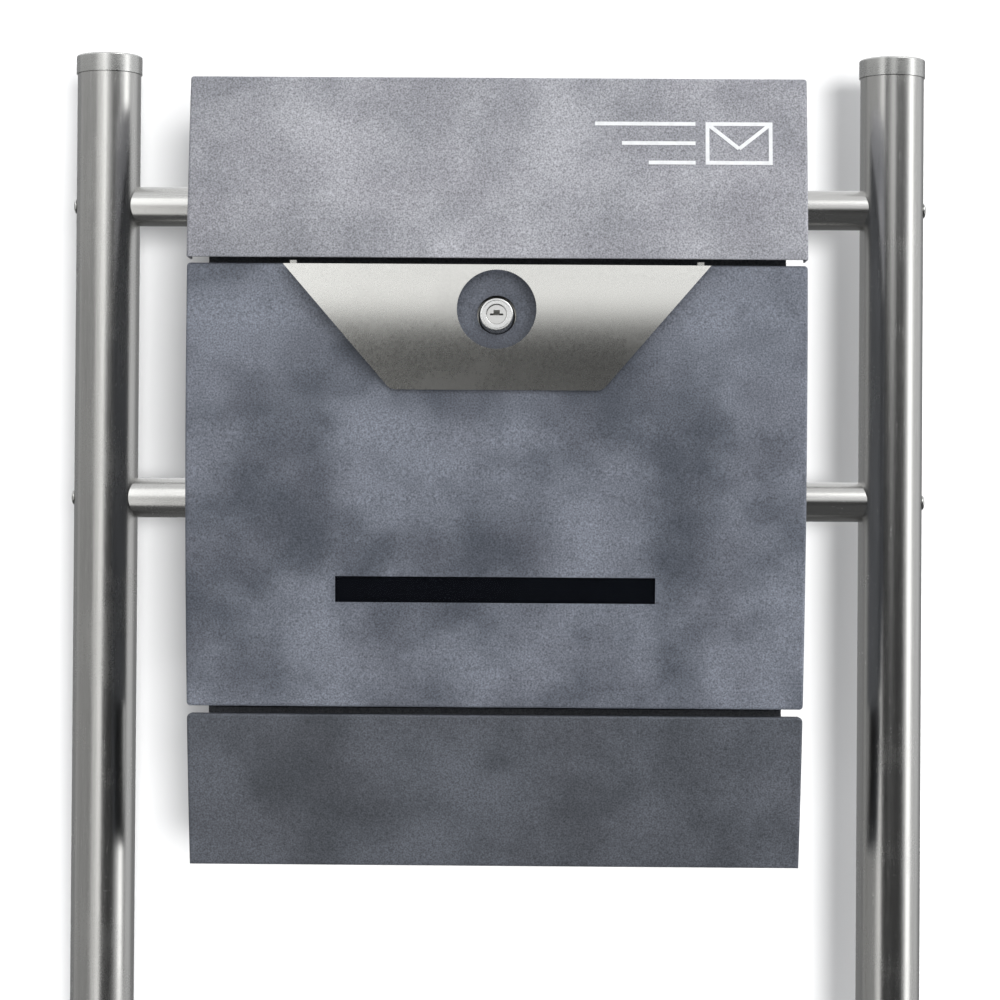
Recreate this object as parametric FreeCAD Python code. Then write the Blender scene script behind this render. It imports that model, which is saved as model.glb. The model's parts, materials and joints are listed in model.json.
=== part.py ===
import FreeCAD
import Part
import math
import os

# Mailbox with a lid, a drop-down door and a newspaper tray, on a two-post tubular stand.
#
# Millimetres. +X is the viewer's right, +Y points away from the viewer, +Z is up.
# The origin is on the floor, at the centre of the footprint box.
# Inside the box, places are given as (x, depth, height): depth runs forward from the
# rear face of the back panel, height runs up from the bottom of the newspaper tray.

# ---- stand ---------------------------------------------------------------------------
STAND_H = 1200.0            # floor to the top of the post caps
POST_SPACING = 496.0        # between the two post axes
POST_D = 40.0
POST_WALL = 1.5
CAP_H = 12.0                # what stands above the post tube
CAP_OVERHANG = 0.75         # radial
CAP_ROUND = 1.8
CAP_SPIGOT_H = 15.0
CAP_SPIGOT_GAP = 0.2        # radial, spigot to tube bore
TUBE_D = 25.0
TUBE_WALL = 1.5
TUBE_DROP = 68.0            # box top down to the upper cross tube's axis
TUBE_SPACING = 184.5        # between the two cross tube axes
PLUG_LENGTH = 24.0          # threaded plug in each end of a cross tube
SCREW_SHORT = 4.0           # plug left beyond an end screw's tip
FOOT_X = 100.0
FOOT_Y = 150.0
FOOT_T = 5.0
FOOT_CORNER_R = 10.0
FOOT_HOLE_R = 4.5
FOOT_HOLES_X = 70.0
FOOT_HOLES_Y = 120.0
WELD = 4.0                  # leg of the fillet weld round each post

# ---- box -----------------------------------------------------------------------------
BOX_DROP = 27.5             # stand top down to the lid's top
BOX_H = 476.0
FRONT_W = 370.0             # lid, door and tray
BODY_INSET = 12.0           # front pieces' ends to the side panels
BOX_DEPTH = 105.0           # rear face to the crown of the bowed front
BOW_R = 1050.0
BOW_CROWN_H = 298.0         # height of the crown
LID_H = 110.0
LID_GAP = 3.5               # lid to door
DOOR_GAP = 4.6              # door to tray
TRAY_H = 93.0
SKIN_T = 1.2                # lid, door and tray sheet
BODY_T = 1.0                # sheet of the inner box
RETURN = 10.0               # turned-back edges of the skins
BEND_R = 2.0                # outside radius of the skins' bends
DOOR_CORNER_R = 2.0
TRAY_CORNER_R = 3.0

# ---- lid -----------------------------------------------------------------------------
LID_PROUD = 3.0             # lid's lower edge in front of the door's upper edge
LID_LEAN = 9.0              # degrees back from upright
LID_BOW_R = 1050.0
LID_HEM = 9.0
CHEEK_FOOT = 22.0           # depth of a cheek at the lid's lower edge
CHEEK_HEEL = 22.0           # height of a cheek at the rear
LID_REAR = 3.0              # depth of the lid's rear edge
LID_AXIS_D = 9.0
LID_AXIS_DROP = 9.0         # lid top down to the hinge rod's axis
ROD_R = 2.5
RUN_GAP = 0.08              # radial running clearance of rod, pins and lock plug
EAR_WALL = 3.0              # metal round the hinge rod
CLIP_WIDTH = 1.3            # radial
CLIP_T = 0.8
CLIP_GAP = 0.3              # clip to side panel
SIGN_STROKE = 2.3
SIGN_T = 0.3
SIGN_W = 40.0               # envelope
SIGN_H = 26.0
SIGN_INSET = 21.0           # lid's right edge to the envelope
SIGN_DROP = 40.0            # lid top down to the envelope's centre
SIGN_GAP = 6.0
SIGN_LINES = (60.0, 44.0, 28.0)

# ---- inner box -----------------------------------------------------------------------
ROOF_DROP = 14.0            # lid top down to the roof's top face
FLANGE = 10.0
SIDE_FLANGE = 12.0
FRAME_BACK = 16.0           # slot frame behind the lid skin
FRAME_LAP = 17.5            # slot frame's lower edge below the door's upper edge
SLOT_END = 9.5              # metal left at each end of the slot
SLOT_H = 36.0
SLOT_RISE = 27.0            # lid's lower edge up to the slot's lower edge
SIDE_GAP = 1.5              # door skin to the side panels' front edge
FLOOR_RISE = 3.5            # tray top up to the floor's top face
LIP_H = 12.0
SIDE_BELOW_FLOOR = 6.0
BAFFLE_GAP = 12.8           # slot frame to the baffle's top flange
BAFFLE_DROP = 62.0
BAFFLE_BACK = 26.0
BUMPER_R = 4.0
BUMPER_INSET = 22.0         # side panel to a bumper's centre
BUMPER_RISE = 14.0          # lid's lower edge up to the bumpers
BUMPER_GAP = 0.35
TRAY_FLANGE_H = 26.0
RIVET_R = 1.6
RIVET_HEAD_R = 3.2
RIVET_HEAD_T = 1.1
RIVET_SET_R = 2.6           # formed head, inside
TRAY_RIVETS = 4
TRAY_RIVET_INSET = 38.0     # side panel to the outermost rivet

# ---- mounting of the box on the cross tubes --------------------------------------------
BOLT_INSET = 43.0           # body's side to a bolt
BOLT_R = 3.0
BOLT_HEAD_R = 5.6
BOLT_HEAD_T = 3.4
BOLT_HEAD_ROUND = 1.5
BOLT_LENGTH = 18.0
WASHER_R = 8.0
WASHER_T = 1.2
RIVNUT_R = 4.5
RIVNUT_SINK = 1.1           # rivet nut's mouth behind the tube's foremost line
RIVNUT_LENGTH = 13.0
END_SCREW_R = 3.0
END_SCREW_HEAD_R = 4.6
END_SCREW_HEAD_T = 2.4

# ---- door ----------------------------------------------------------------------------
HINGE_RISE = 7.0            # door's lower edge up to its axis
HINGE_CLEAR = 1.3           # skin's inner face to the eyes
PIN_R = 2.5
PIN_HEAD_STEP = 1.7         # radial
PIN_HEAD_T = 1.4
PIN_HEAD_GAP = 0.5          # head to side panel
PIN_TAIL = 1.0              # pin beyond its lug
LUG_T = 1.5
EYE_WALL = 1.9              # metal round a hinge pin
LUG_FLANGE = 18.0
LUG_H = 24.0
LUG_TO_SIDE = 2.0
SWEEP = 9.0                 # room round the axis for the door's lower edge
VIEW_W = 191.0
VIEW_H = 15.5
VIEW_RISE = 63.0            # door's lower edge up to the viewing slot
PANE_LAP = 9.0
PANE_T = 2.0
RAIL_FLANGE = 9.0
RAIL_LIP = 5.0

# ---- trim plate ----------------------------------------------------------------------
TRIM_TOP_W = 254.5
TRIM_BOTTOM_W = 126.0
TRIM_H = 74.5
TRIM_DROP = 0.7             # below the door's upper edge
TRIM_T = 1.2
TRIM_BOW_R = 180.0
TRIM_LIFT_TOP = 4.0         # skin to the plate's rear face
TRIM_LIFT_BOTTOM = 0.6
TRIM_CORNER_R = 3.0
TRIM_HOLE_R = 23.6
TRIM_HOLE_UP = 3.6          # above the lock's axis
TAB_INSET = 6.25            # plate's upper corner to a hook's centre
TAB_W = 4.0
TAB_REACH = 9.0
STUD_R = 2.0
SPACER_R = 4.0
STUD_TOP_INSET = 35.25      # plate's upper corner to a stud
STUD_TOP_DROP = 13.0
STUD_LOW_GAP = 10.0         # lock bracket to a stud
STUD_LOW_RISE = 12.0
STUD_BEHIND = 5.5           # stud end behind the skin
NUT_AF = 7.0
NUT_T = 3.0

# ---- lock ----------------------------------------------------------------------------
LOCK_DROP = 31.0            # door's upper edge down to the lock
LOCK_TILT = 8.0             # degrees, face turned up
LOCK_HOLE_GAP = 0.9         # radial, head to the hole in the skin
LOCK_SINK = 5.0             # head's seat behind the skin
HEAD_STEP = 1.9             # radial, head beyond the barrel
HEAD_TAPER = 2.0            # radial
HEAD_ROUND = 0.6
LOCK_FACE_OUT = 4.5
LOCK_RIM_H = 3.4            # straight part of the head
BARREL_WALL = 3.0           # barrel round the plug
LOCK_BARREL_END = -11.2
PLUG_R = 6.0
PLUG_FACE_OUT = 4.1
KEY_SLOT_W = 7.8
KEY_SLOT_H = 1.1
KEY_STEP_W = 3.7
KEY_STEP_H = 2.1
KEY_DEPTH = 9.0
LOCK_NUT_WIDTH = 3.0        # nut beyond the barrel, to a flat
LOCK_NUT_T = 2.6
SQUARE = 7.0
CAM_T = 2.0
CAM_REACH = 24.0
CAM_W = 13.0
CAM_SCREW_R = 2.0
CAM_SCREW_HEAD_R = 4.2
CAM_SCREW_HEAD_T = 2.4
CAM_SCREW_GRIP = 3.0        # thread beyond the cam
BRACKET_T = 1.2
BRACKET_W = 44.0
BRACKET_H = 42.0
BRACKET_FLANGE = 12.0
BRACKET_RELIEF = 4.0        # flanges short of the bracket's ends
BRACKET_LEG = 15.0          # legs before they are trimmed to the skin
BRACKET_EASE = 3.0          # room for the bracket's tilt
SEAT_CLEAR = 0.1            # radial, barrel to bracket hole

NEAR = 0.01                 # tolerance for finding an edge


# ---- geometry helpers ------------------------------------------------------------------
class Bow:
    """A face bowed about an axis along X: an arc in the depth-height plane."""

    def __init__(self, centre_d, centre_h, radius):
        self.centre_d = centre_d
        self.centre_h = centre_h
        self.radius = radius

    @classmethod
    def through(cls, low, high, radius):
        """The arc of this radius that bulges forward between two (depth, height) points."""
        half_d = (high[0] - low[0]) / 2
        half_h = (high[1] - low[1]) / 2
        half = math.hypot(half_d, half_h)
        back = math.sqrt(radius ** 2 - half ** 2)
        centre_d = (low[0] + high[0]) / 2 - back * half_h / half
        centre_h = (low[1] + high[1]) / 2 + back * half_d / half
        return cls(centre_d, centre_h, radius)

    def depth(self, height, inset=0.0):
        """Depth of the face at this height, or of a parallel face this far behind it."""
        radius = self.radius - inset
        return self.centre_d + math.sqrt(radius ** 2 - (height - self.centre_h) ** 2)


def at(x, depth, height):
    """The point at this place in the box."""
    return FreeCAD.Vector(x, BACK_Y - depth, BOX_BOTTOM + height)


def block(x0, x1, d0, d1, h0, h1):
    """A plain block between these limits of x, depth and height."""
    return Part.makeBox(x1 - x0, d1 - d0, h1 - h0, at(x0, d1, h0))


def prism(outline, x0, x1):
    """A solid between x0 and x1 with an outline of (depth, height) points."""
    points = [at(x0, d, h) for d, h in outline]
    face = Part.Face(Part.makePolygon(points + points[:1]))
    return face.extrude(FreeCAD.Vector(x1 - x0, 0, 0))


def slab(bow, x0, x1, h0, h1, outer, inner):
    """A layer of a bowed wall, from the face at inset outer to the one at inset inner."""
    middle = (h0 + h1) / 2
    front_low = at(x0, bow.depth(h0, outer), h0)
    front_mid = at(x0, bow.depth(middle, outer), middle)
    front_top = at(x0, bow.depth(h1, outer), h1)
    back_top = at(x0, bow.depth(h1, inner), h1)
    back_mid = at(x0, bow.depth(middle, inner), middle)
    back_low = at(x0, bow.depth(h0, inner), h0)
    edges = [
        Part.Arc(front_low, front_mid, front_top).toShape(),
        Part.LineSegment(front_top, back_top).toShape(),
        Part.Arc(back_top, back_mid, back_low).toShape(),
        Part.LineSegment(back_low, front_low).toShape(),
    ]
    return Part.Face(Part.Wire(edges)).extrude(FreeCAD.Vector(x1 - x0, 0, 0))


def bent_sheet(path, thickness, x0, x1):
    """Sheet folded along (depth, height) points; its thickness lies to the path's right."""
    normals = []
    for (d0, h0), (d1, h1) in zip(path, path[1:]):
        length = math.hypot(d1 - d0, h1 - h0)
        normals.append(((h1 - h0) / length, (d0 - d1) / length))
    inner = []
    for index, (d, h) in enumerate(path):
        before = normals[max(index - 1, 0)]
        after = normals[min(index, len(normals) - 1)]
        share = thickness / (1 + before[0] * after[0] + before[1] * after[1])
        inner.append((d + share * (before[0] + after[0]), h + share * (before[1] + after[1])))
    return prism(path + inner[::-1], x0, x1)


def bar_x(radius, x0, x1, depth, height):
    """A round bar along X."""
    return Part.makeCylinder(radius, x1 - x0, at(x0, depth, height), FreeCAD.Vector(1, 0, 0))


def bar_y(radius, x, d0, d1, height):
    """A round bar along Y, between two depths."""
    return Part.makeCylinder(radius, d1 - d0, at(x, d0, height), FreeCAD.Vector(0, -1, 0))


def hexagon(across_flats, thickness, base, direction):
    """A hexagonal prism standing on base."""
    radius = across_flats / math.sqrt(3)
    corners = []
    for index in range(7):
        angle = math.radians(60 * index)
        corners.append(FreeCAD.Vector(radius * math.cos(angle), radius * math.sin(angle), 0))
    solid = Part.Face(Part.makePolygon(corners)).extrude(FreeCAD.Vector(0, 0, thickness))
    turn = FreeCAD.Rotation(FreeCAD.Vector(0, 0, 1), direction)
    solid.Placement = FreeCAD.Placement(base, turn)
    return solid


def both_sides(make):
    """The left and the right piece as one group."""
    return Part.Compound([make(-1), make(1)])


def one_solid(shape):
    """The single solid of a finished shape."""
    return shape.removeSplitter().Solids[0]


def span(side, near, far):
    """The x limits, in order, of a stretch from near to far on one side."""
    return min(side * near, side * far), max(side * near, side * far)


# ---- places worked out from the sizes ----------------------------------------------------
BOX_TOP = STAND_H - BOX_DROP
BOX_BOTTOM = BOX_TOP - BOX_H
POST_X = POST_SPACING / 2
POST_TOP = STAND_H - CAP_H
TUBE_HEIGHTS = (BOX_H - TUBE_DROP, BOX_H - TUBE_DROP - TUBE_SPACING)

DOOR_BOTTOM = TRAY_H + DOOR_GAP
LID_BOTTOM = BOX_H - LID_H
DOOR_TOP = LID_BOTTOM - LID_GAP
FRONT = Bow(BOX_DEPTH - BOW_R, BOW_CROWN_H, BOW_R)

LID_FRONT_D = FRONT.depth(DOOR_TOP) + LID_PROUD
LID_SLOPE = math.tan(math.radians(LID_LEAN))
LID_TOP_D = LID_FRONT_D - LID_H * LID_SLOPE
LID_FACE = Bow.through((LID_FRONT_D, LID_BOTTOM), (LID_TOP_D, BOX_H), LID_BOW_R)
LID_AXIS_H = BOX_H - LID_AXIS_DROP

TRIM_TOP = DOOR_TOP - TRIM_DROP
TRIM_BOTTOM = TRIM_TOP - TRIM_H
TRIM_FACE = Bow.through(
    (FRONT.depth(TRIM_BOTTOM) + TRIM_LIFT_BOTTOM + TRIM_T, TRIM_BOTTOM),
    (FRONT.depth(TRIM_TOP) + TRIM_LIFT_TOP + TRIM_T, TRIM_TOP),
    TRIM_BOW_R,
)

FOREMOST = max(TRIM_FACE.depth(TRIM_FACE.centre_h), LID_FRONT_D)
POST_Y = (FOREMOST + TUBE_D / 2 - FOOT_Y / 2) / 2
BACK_Y = POST_Y - TUBE_D / 2

ROOF_H = BOX_H - ROOF_DROP
FLOOR_H = TRAY_H + FLOOR_RISE
SIDE_BOTTOM = FLOOR_H - SIDE_BELOW_FLOOR
BODY_X = FRONT_W / 2 - BODY_INSET
INNER_X = BODY_X - BODY_T
BOLT_X = BODY_X - BOLT_INSET
FRAME_BOTTOM = DOOR_TOP - FRAME_LAP

EYE_R = PIN_R + EYE_WALL
DOOR_AXIS_H = DOOR_BOTTOM + HINGE_RISE
DOOR_AXIS_D = FRONT.depth(DOOR_AXIS_H, SKIN_T) - HINGE_CLEAR - EYE_R
EAR_R = ROD_R + EAR_WALL
LIP_D = DOOR_AXIS_D - SWEEP + FLANGE / 6

LOCK_H = DOOR_TOP - LOCK_DROP
LOCK_D = FRONT.depth(LOCK_H)
LOCK_BARREL_R = PLUG_R + BARREL_WALL
LOCK_HEAD_R = LOCK_BARREL_R + HEAD_STEP
LOCK_FACE_R = LOCK_HEAD_R - HEAD_TAPER
LOCK_NUT_AF = 2 * (LOCK_BARREL_R + LOCK_NUT_WIDTH)
VIEW_H0 = DOOR_BOTTOM + VIEW_RISE
VIEW_H1 = VIEW_H0 + VIEW_H


def frame_depth(height):
    """Depth of the slot frame's front face, which is parallel to the lid."""
    return LID_FRONT_D - (height - LID_BOTTOM) * LID_SLOPE - FRAME_BACK


# ---- stand ---------------------------------------------------------------------------
def post_axis_bar(side, radius, z0, z1):
    """A round bar on a post's axis."""
    return Part.makeCylinder(radius, z1 - z0, FreeCAD.Vector(side * POST_X, POST_Y, z0))


def end_screw_hole(side, tube_height, radius, x0, x1):
    """A bar along a cross tube's axis, near one post."""
    low, high = span(side, x0, x1)
    return bar_x(radius, low, high, -TUBE_D / 2, tube_height)


def post(side):
    """Upright tube, drilled for the screws that hold the cross tubes."""
    tube = post_axis_bar(side, POST_D / 2, FOOT_T, POST_TOP)
    tube = tube.cut(post_axis_bar(side, POST_D / 2 - POST_WALL, FOOT_T, POST_TOP))
    for height in TUBE_HEIGHTS:
        tube = tube.cut(end_screw_hole(side, height, END_SCREW_R, POST_X - POST_D, POST_X + POST_D))
    return one_solid(tube)


def post_cap(side):
    """Turned cap with a rounded rim and a spigot inside the post."""
    head = post_axis_bar(side, POST_D / 2 + CAP_OVERHANG, POST_TOP, STAND_H)
    rim = [edge for edge in head.Edges if edge.BoundBox.ZMin > STAND_H - NEAR]
    head = head.makeFillet(CAP_ROUND, rim)
    spigot_r = POST_D / 2 - POST_WALL - CAP_SPIGOT_GAP
    spigot = post_axis_bar(side, spigot_r, POST_TOP - CAP_SPIGOT_H, POST_TOP)
    return one_solid(head.fuse(spigot))


def foot_plate(side):
    """Floor plate with rounded corners and four fixing holes."""
    corner = FreeCAD.Vector(side * POST_X - FOOT_X / 2, POST_Y - FOOT_Y / 2, 0)
    plate = Part.makeBox(FOOT_X, FOOT_Y, FOOT_T, corner)
    uprights = [edge for edge in plate.Edges if edge.BoundBox.ZLength > FOOT_T - NEAR]
    plate = plate.makeFillet(FOOT_CORNER_R, uprights)
    for dx in (-FOOT_HOLES_X / 2, FOOT_HOLES_X / 2):
        for dy in (-FOOT_HOLES_Y / 2, FOOT_HOLES_Y / 2):
            place = FreeCAD.Vector(side * POST_X + dx, POST_Y + dy, 0)
            plate = plate.cut(Part.makeCylinder(FOOT_HOLE_R, FOOT_T, place))
    return one_solid(plate)


def foot_weld(side):
    """Fillet weld where a post meets its plate."""
    centre = FreeCAD.Vector(side * POST_X, POST_Y, FOOT_T)
    cone = Part.makeCone(POST_D / 2 + WELD, POST_D / 2, WELD, centre)
    return one_solid(cone.cut(post_axis_bar(side, POST_D / 2, FOOT_T, FOOT_T + WELD)))


def cross_tube(height):
    """Tube coped to the posts at both ends, with holes for the rivet nuts."""
    tube = bar_x(TUBE_D / 2, -POST_X, POST_X, -TUBE_D / 2, height)
    tube = tube.cut(bar_x(TUBE_D / 2 - TUBE_WALL, -POST_X, POST_X, -TUBE_D / 2, height))
    for side in (-1, 1):
        tube = tube.cut(post_axis_bar(side, POST_D / 2, FOOT_T, POST_TOP))
        tube = tube.cut(bar_y(RIVNUT_R, side * BOLT_X, -TUBE_D / 2, TUBE_WALL, height))
    return one_solid(tube)


def tube_plug(side, height):
    """Threaded plug in a cross tube's end."""
    x0, x1 = span(side, POST_X - POST_D / 2 - PLUG_LENGTH, POST_X)
    plug = bar_x(TUBE_D / 2 - TUBE_WALL, x0, x1, -TUBE_D / 2, height)
    plug = plug.cut(bar_x(END_SCREW_R, x0, x1, -TUBE_D / 2, height))
    return one_solid(plug.cut(post_axis_bar(side, POST_D / 2, FOOT_T, POST_TOP)))


def tube_screw(side, height):
    """Screw through a post into the plug of a cross tube."""
    tip = POST_X - POST_D / 2 - PLUG_LENGTH + SCREW_SHORT
    face = POST_X + POST_D / 2
    shank = end_screw_hole(side, height, END_SCREW_R, tip, face)
    head = end_screw_hole(side, height, END_SCREW_HEAD_R, POST_X, face + END_SCREW_HEAD_T)
    rim = [edge for edge in head.Edges if abs(edge.BoundBox.Center.x) > face + 1
           and edge.BoundBox.XLength < NEAR]
    head = head.makeFillet(END_SCREW_HEAD_T / 2, rim)
    head = head.cut(post_axis_bar(side, POST_D / 2, FOOT_T, POST_TOP))
    return one_solid(shank.fuse(head))


def at_four_ends(make):
    """A piece at both ends of both cross tubes."""
    return Part.Compound([make(side, height) for side in (-1, 1) for height in TUBE_HEIGHTS])


# ---- box mounting ----------------------------------------------------------------------
def bolt_places():
    """(x, height) of the four bolts that hold the box."""
    return [(side * BOLT_X, height) for side in (-1, 1) for height in TUBE_HEIGHTS]


def box_bolts():
    """Pan-head bolts through the back panel."""
    bolts = []
    seat = BODY_T + WASHER_T
    for x, height in bolt_places():
        head = bar_y(BOLT_HEAD_R, x, seat, seat + BOLT_HEAD_T, height)
        rim = [edge for edge in head.Edges if edge.BoundBox.YMax < BACK_Y - seat - 1]
        head = head.makeFillet(BOLT_HEAD_ROUND, rim)
        shank = bar_y(BOLT_R, x, seat - BOLT_LENGTH, seat, height)
        bolts.append(one_solid(head.fuse(shank)))
    return Part.Compound(bolts)


def box_washers():
    """Washers under the bolt heads."""
    rings = []
    for x, height in bolt_places():
        disc = bar_y(WASHER_R, x, BODY_T, BODY_T + WASHER_T, height)
        rings.append(disc.cut(bar_y(BOLT_R, x, BODY_T, BODY_T + WASHER_T, height)))
    return Part.Compound(rings)


def rivet_nuts():
    """Threaded inserts in the cross tubes."""
    nuts = []
    for x, height in bolt_places():
        body = bar_y(RIVNUT_R, x, -RIVNUT_SINK - RIVNUT_LENGTH, -RIVNUT_SINK, height)
        nuts.append(body.cut(bar_y(BOLT_R, x, -TUBE_D, 0, height)))
    return Part.Compound(nuts)


# ---- inner box -----------------------------------------------------------------------
def tray_rivet_places():
    """(x, height) of the rivets that hold the tray."""
    last = BODY_X - TRAY_RIVET_INSET
    pitch = 2 * last / (TRAY_RIVETS - 1)
    return [(-last + pitch * index, TRAY_FLANGE_H / 2) for index in range(TRAY_RIVETS)]


def back_panel():
    """Flat back, from the tray to the roof."""
    panel = block(-BODY_X, BODY_X, 0, BODY_T, 0, ROOF_H)
    for x, height in bolt_places():
        panel = panel.cut(bar_y(BOLT_R, x, 0, BODY_T, height))
    for x, height in tray_rivet_places():
        panel = panel.cut(bar_y(RIVET_R, x, 0, BODY_T, height))
    return one_solid(panel)


def side_panel(side):
    """Side wall with eyes for the lid rod and the door pin, and a flange on the back."""
    x0, x1 = span(side, INNER_X, BODY_X)
    step = DOOR_TOP - FLANGE / 2
    wall = slab(FRONT, x0, x1, SIDE_BOTTOM, step, SKIN_T + SIDE_GAP, BOX_DEPTH + FLANGE)
    wall = wall.cut(block(x0, x1, -2 * BOX_DEPTH, BODY_T, SIDE_BOTTOM, step))
    upper = [(BODY_T, step), (frame_depth(step), step), (frame_depth(ROOF_H), ROOF_H), (BODY_T, ROOF_H)]
    wall = wall.fuse(prism(upper, x0, x1))
    wall = wall.fuse(block(x0, x1, LID_AXIS_D - EAR_R, LID_AXIS_D + EAR_R, ROOF_H - 1, LID_AXIS_H))
    wall = wall.fuse(bar_x(EAR_R, x0, x1, LID_AXIS_D, LID_AXIS_H))
    wall = wall.cut(bar_x(ROD_R + RUN_GAP, x0, x1, LID_AXIS_D, LID_AXIS_H))
    sweep = block(x0, x1, DOOR_AXIS_D - SWEEP, BOX_DEPTH, 0, DOOR_AXIS_H)
    wall = wall.cut(sweep.cut(bar_x(EYE_R, x0, x1, DOOR_AXIS_D, DOOR_AXIS_H)))
    wall = wall.cut(bar_x(PIN_R + RUN_GAP, x0, x1, DOOR_AXIS_D, DOOR_AXIS_H))
    f0, f1 = span(side, INNER_X - SIDE_FLANGE, INNER_X)
    flange = block(f0, f1, BODY_T, 2 * BODY_T, FLOOR_H + BODY_T, ROOF_H - SIDE_FLANGE)
    return one_solid(wall.fuse(flange))


def side_tabs(h0, h1, d0, d1):
    """Upright tabs against both side panels."""
    return [block(*span(side, INNER_X - BODY_T, INNER_X), d0, d1, h0, h1) for side in (-1, 1)]


def roof_panel():
    """Inner roof, folded down at the rear, at the front over the slot frame and at the sides."""
    low = ROOF_H - SIDE_FLANGE
    lap = BODY_T / math.cos(math.radians(LID_LEAN))
    front_top = frame_depth(ROOF_H) + lap
    front_low = frame_depth(low) + lap
    fold = [(BODY_T, low), (BODY_T, ROOF_H), (front_top, ROOF_H), (front_low, low)]
    sheet = bent_sheet(fold, BODY_T, -INNER_X, INNER_X)
    for side in (-1, 1):
        corner = span(side, INNER_X - SIDE_FLANGE - 2, INNER_X)
        sheet = sheet.cut(block(*corner, BODY_T, 3 * BODY_T, low - 1, ROOF_H - BODY_T))
    tabs = side_tabs(low, ROOF_H - BODY_T / 2, 5 * BODY_T, front_low - 8 * BODY_T)
    return one_solid(sheet.multiFuse(tabs))


def floor_panel():
    """Floor of the mail compartment, with a lip down at the front."""
    top = FLOOR_H + FLANGE
    fold = [(LIP_D - BODY_T, FLOOR_H - BODY_T), (BODY_T, FLOOR_H - BODY_T), (BODY_T, top)]
    sheet = bent_sheet(fold, BODY_T, -INNER_X, INNER_X)
    sheet = sheet.fuse(block(-INNER_X, INNER_X, LIP_D - BODY_T, LIP_D, FLOOR_H - LIP_H, FLOOR_H))
    for side in (-1, 1):
        corner = span(side, INNER_X - SIDE_FLANGE - 2, INNER_X)
        sheet = sheet.cut(block(*corner, BODY_T, 3 * BODY_T, FLOOR_H, top + 1))
    tabs = side_tabs(FLOOR_H - BODY_T / 2, top, 5 * BODY_T, LIP_D - 5 * BODY_T)
    return one_solid(sheet.multiFuse(tabs))


def slot_frame():
    """Leaning panel behind the lid with the mail slot; its lower lip keeps the lock cam."""
    top = ROOF_H - BODY_T
    d_low = frame_depth(FRAME_BOTTOM)
    d_top = frame_depth(top)
    sheet = prism([(d_low, FRAME_BOTTOM), (d_top, top), (d_top - BODY_T, top),
                   (d_low - BODY_T, FRAME_BOTTOM)], -INNER_X, INNER_X)
    low = FRAME_BOTTOM + FLANGE / 2
    high = ROOF_H - SIDE_FLANGE - BODY_T
    for side in (-1, 1):
        tab = [(frame_depth(low), low), (frame_depth(high), high),
               (frame_depth(high) - FLANGE, high), (frame_depth(low) - FLANGE, low)]
        sheet = sheet.fuse(prism(tab, *span(side, INNER_X - BODY_T, INNER_X)))
    slot_low = LID_BOTTOM + SLOT_RISE
    slot_x = INNER_X - SLOT_END
    slot = block(-slot_x, slot_x, 0, BOX_DEPTH, slot_low, slot_low + SLOT_H)
    return one_solid(sheet.cut(slot))


def mail_baffle():
    """Deflector under the roof that keeps hands out of the box."""
    top = ROOF_H - BODY_T
    front = frame_depth(ROOF_H) - BAFFLE_GAP
    crease = front - FLANGE
    fold = [(crease - BAFFLE_BACK, top - BAFFLE_DROP), (crease, top), (front, top)]
    width = INNER_X - 2 * BODY_T
    return one_solid(bent_sheet(fold, BODY_T, -width, width))


def bumper(side):
    """Rubber stop between the slot frame and the closed lid."""
    height = LID_BOTTOM + BUMPER_RISE
    x = side * (INNER_X - BUMPER_INSET)
    stub = bar_y(BUMPER_R, x, frame_depth(height) - FLANGE, LID_FRONT_D, height)
    reach = slab(LID_FACE, x - FLANGE, x + FLANGE, LID_BOTTOM, height + FLANGE,
                 SKIN_T + BUMPER_GAP, 3 * FRAME_BACK)
    stub = stub.common(reach)
    behind = prism([(0, LID_BOTTOM), (frame_depth(LID_BOTTOM), LID_BOTTOM),
                    (frame_depth(BOX_H), BOX_H), (0, BOX_H)], x - FLANGE, x + FLANGE)
    return one_solid(stub.cut(behind))


# ---- bowed skins ---------------------------------------------------------------------
def round_corners(solid, radius, above):
    """Round the corners of a pan's outline that lie above a height."""
    corners = []
    for edge in solid.Edges:
        box = edge.BoundBox
        if box.XLength < NEAR and box.ZLength < NEAR and box.ZMin > BOX_BOTTOM + above:
            corners.append(edge)
    return solid.makeFillet(radius, corners)


def front_edges(solid, bow):
    """The edges that lie on the bowed front face."""
    axis = at(0, bow.centre_d, bow.centre_h)
    found = []
    for edge in solid.Edges:
        middle = edge.valueAt((edge.FirstParameter + edge.LastParameter) / 2)
        reach = math.hypot(middle.y - axis.y, middle.z - axis.z)
        if abs(reach - bow.radius) < NEAR:
            found.append(edge)
    return found


def pan(bow, width, h0, h1, corner_r, rounded_above):
    """Bowed sheet with all four edges turned back."""
    outer = slab(bow, -width / 2, width / 2, h0, h1, 0, RETURN)
    outer = round_corners(outer, corner_r, rounded_above)
    outer = outer.makeFillet(BEND_R, front_edges(outer, bow))
    half = width / 2 - SKIN_T
    hollow = slab(bow, -half, half, h0 + SKIN_T, h1 - SKIN_T, SKIN_T, 2 * RETURN)
    return outer.cut(hollow)


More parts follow.
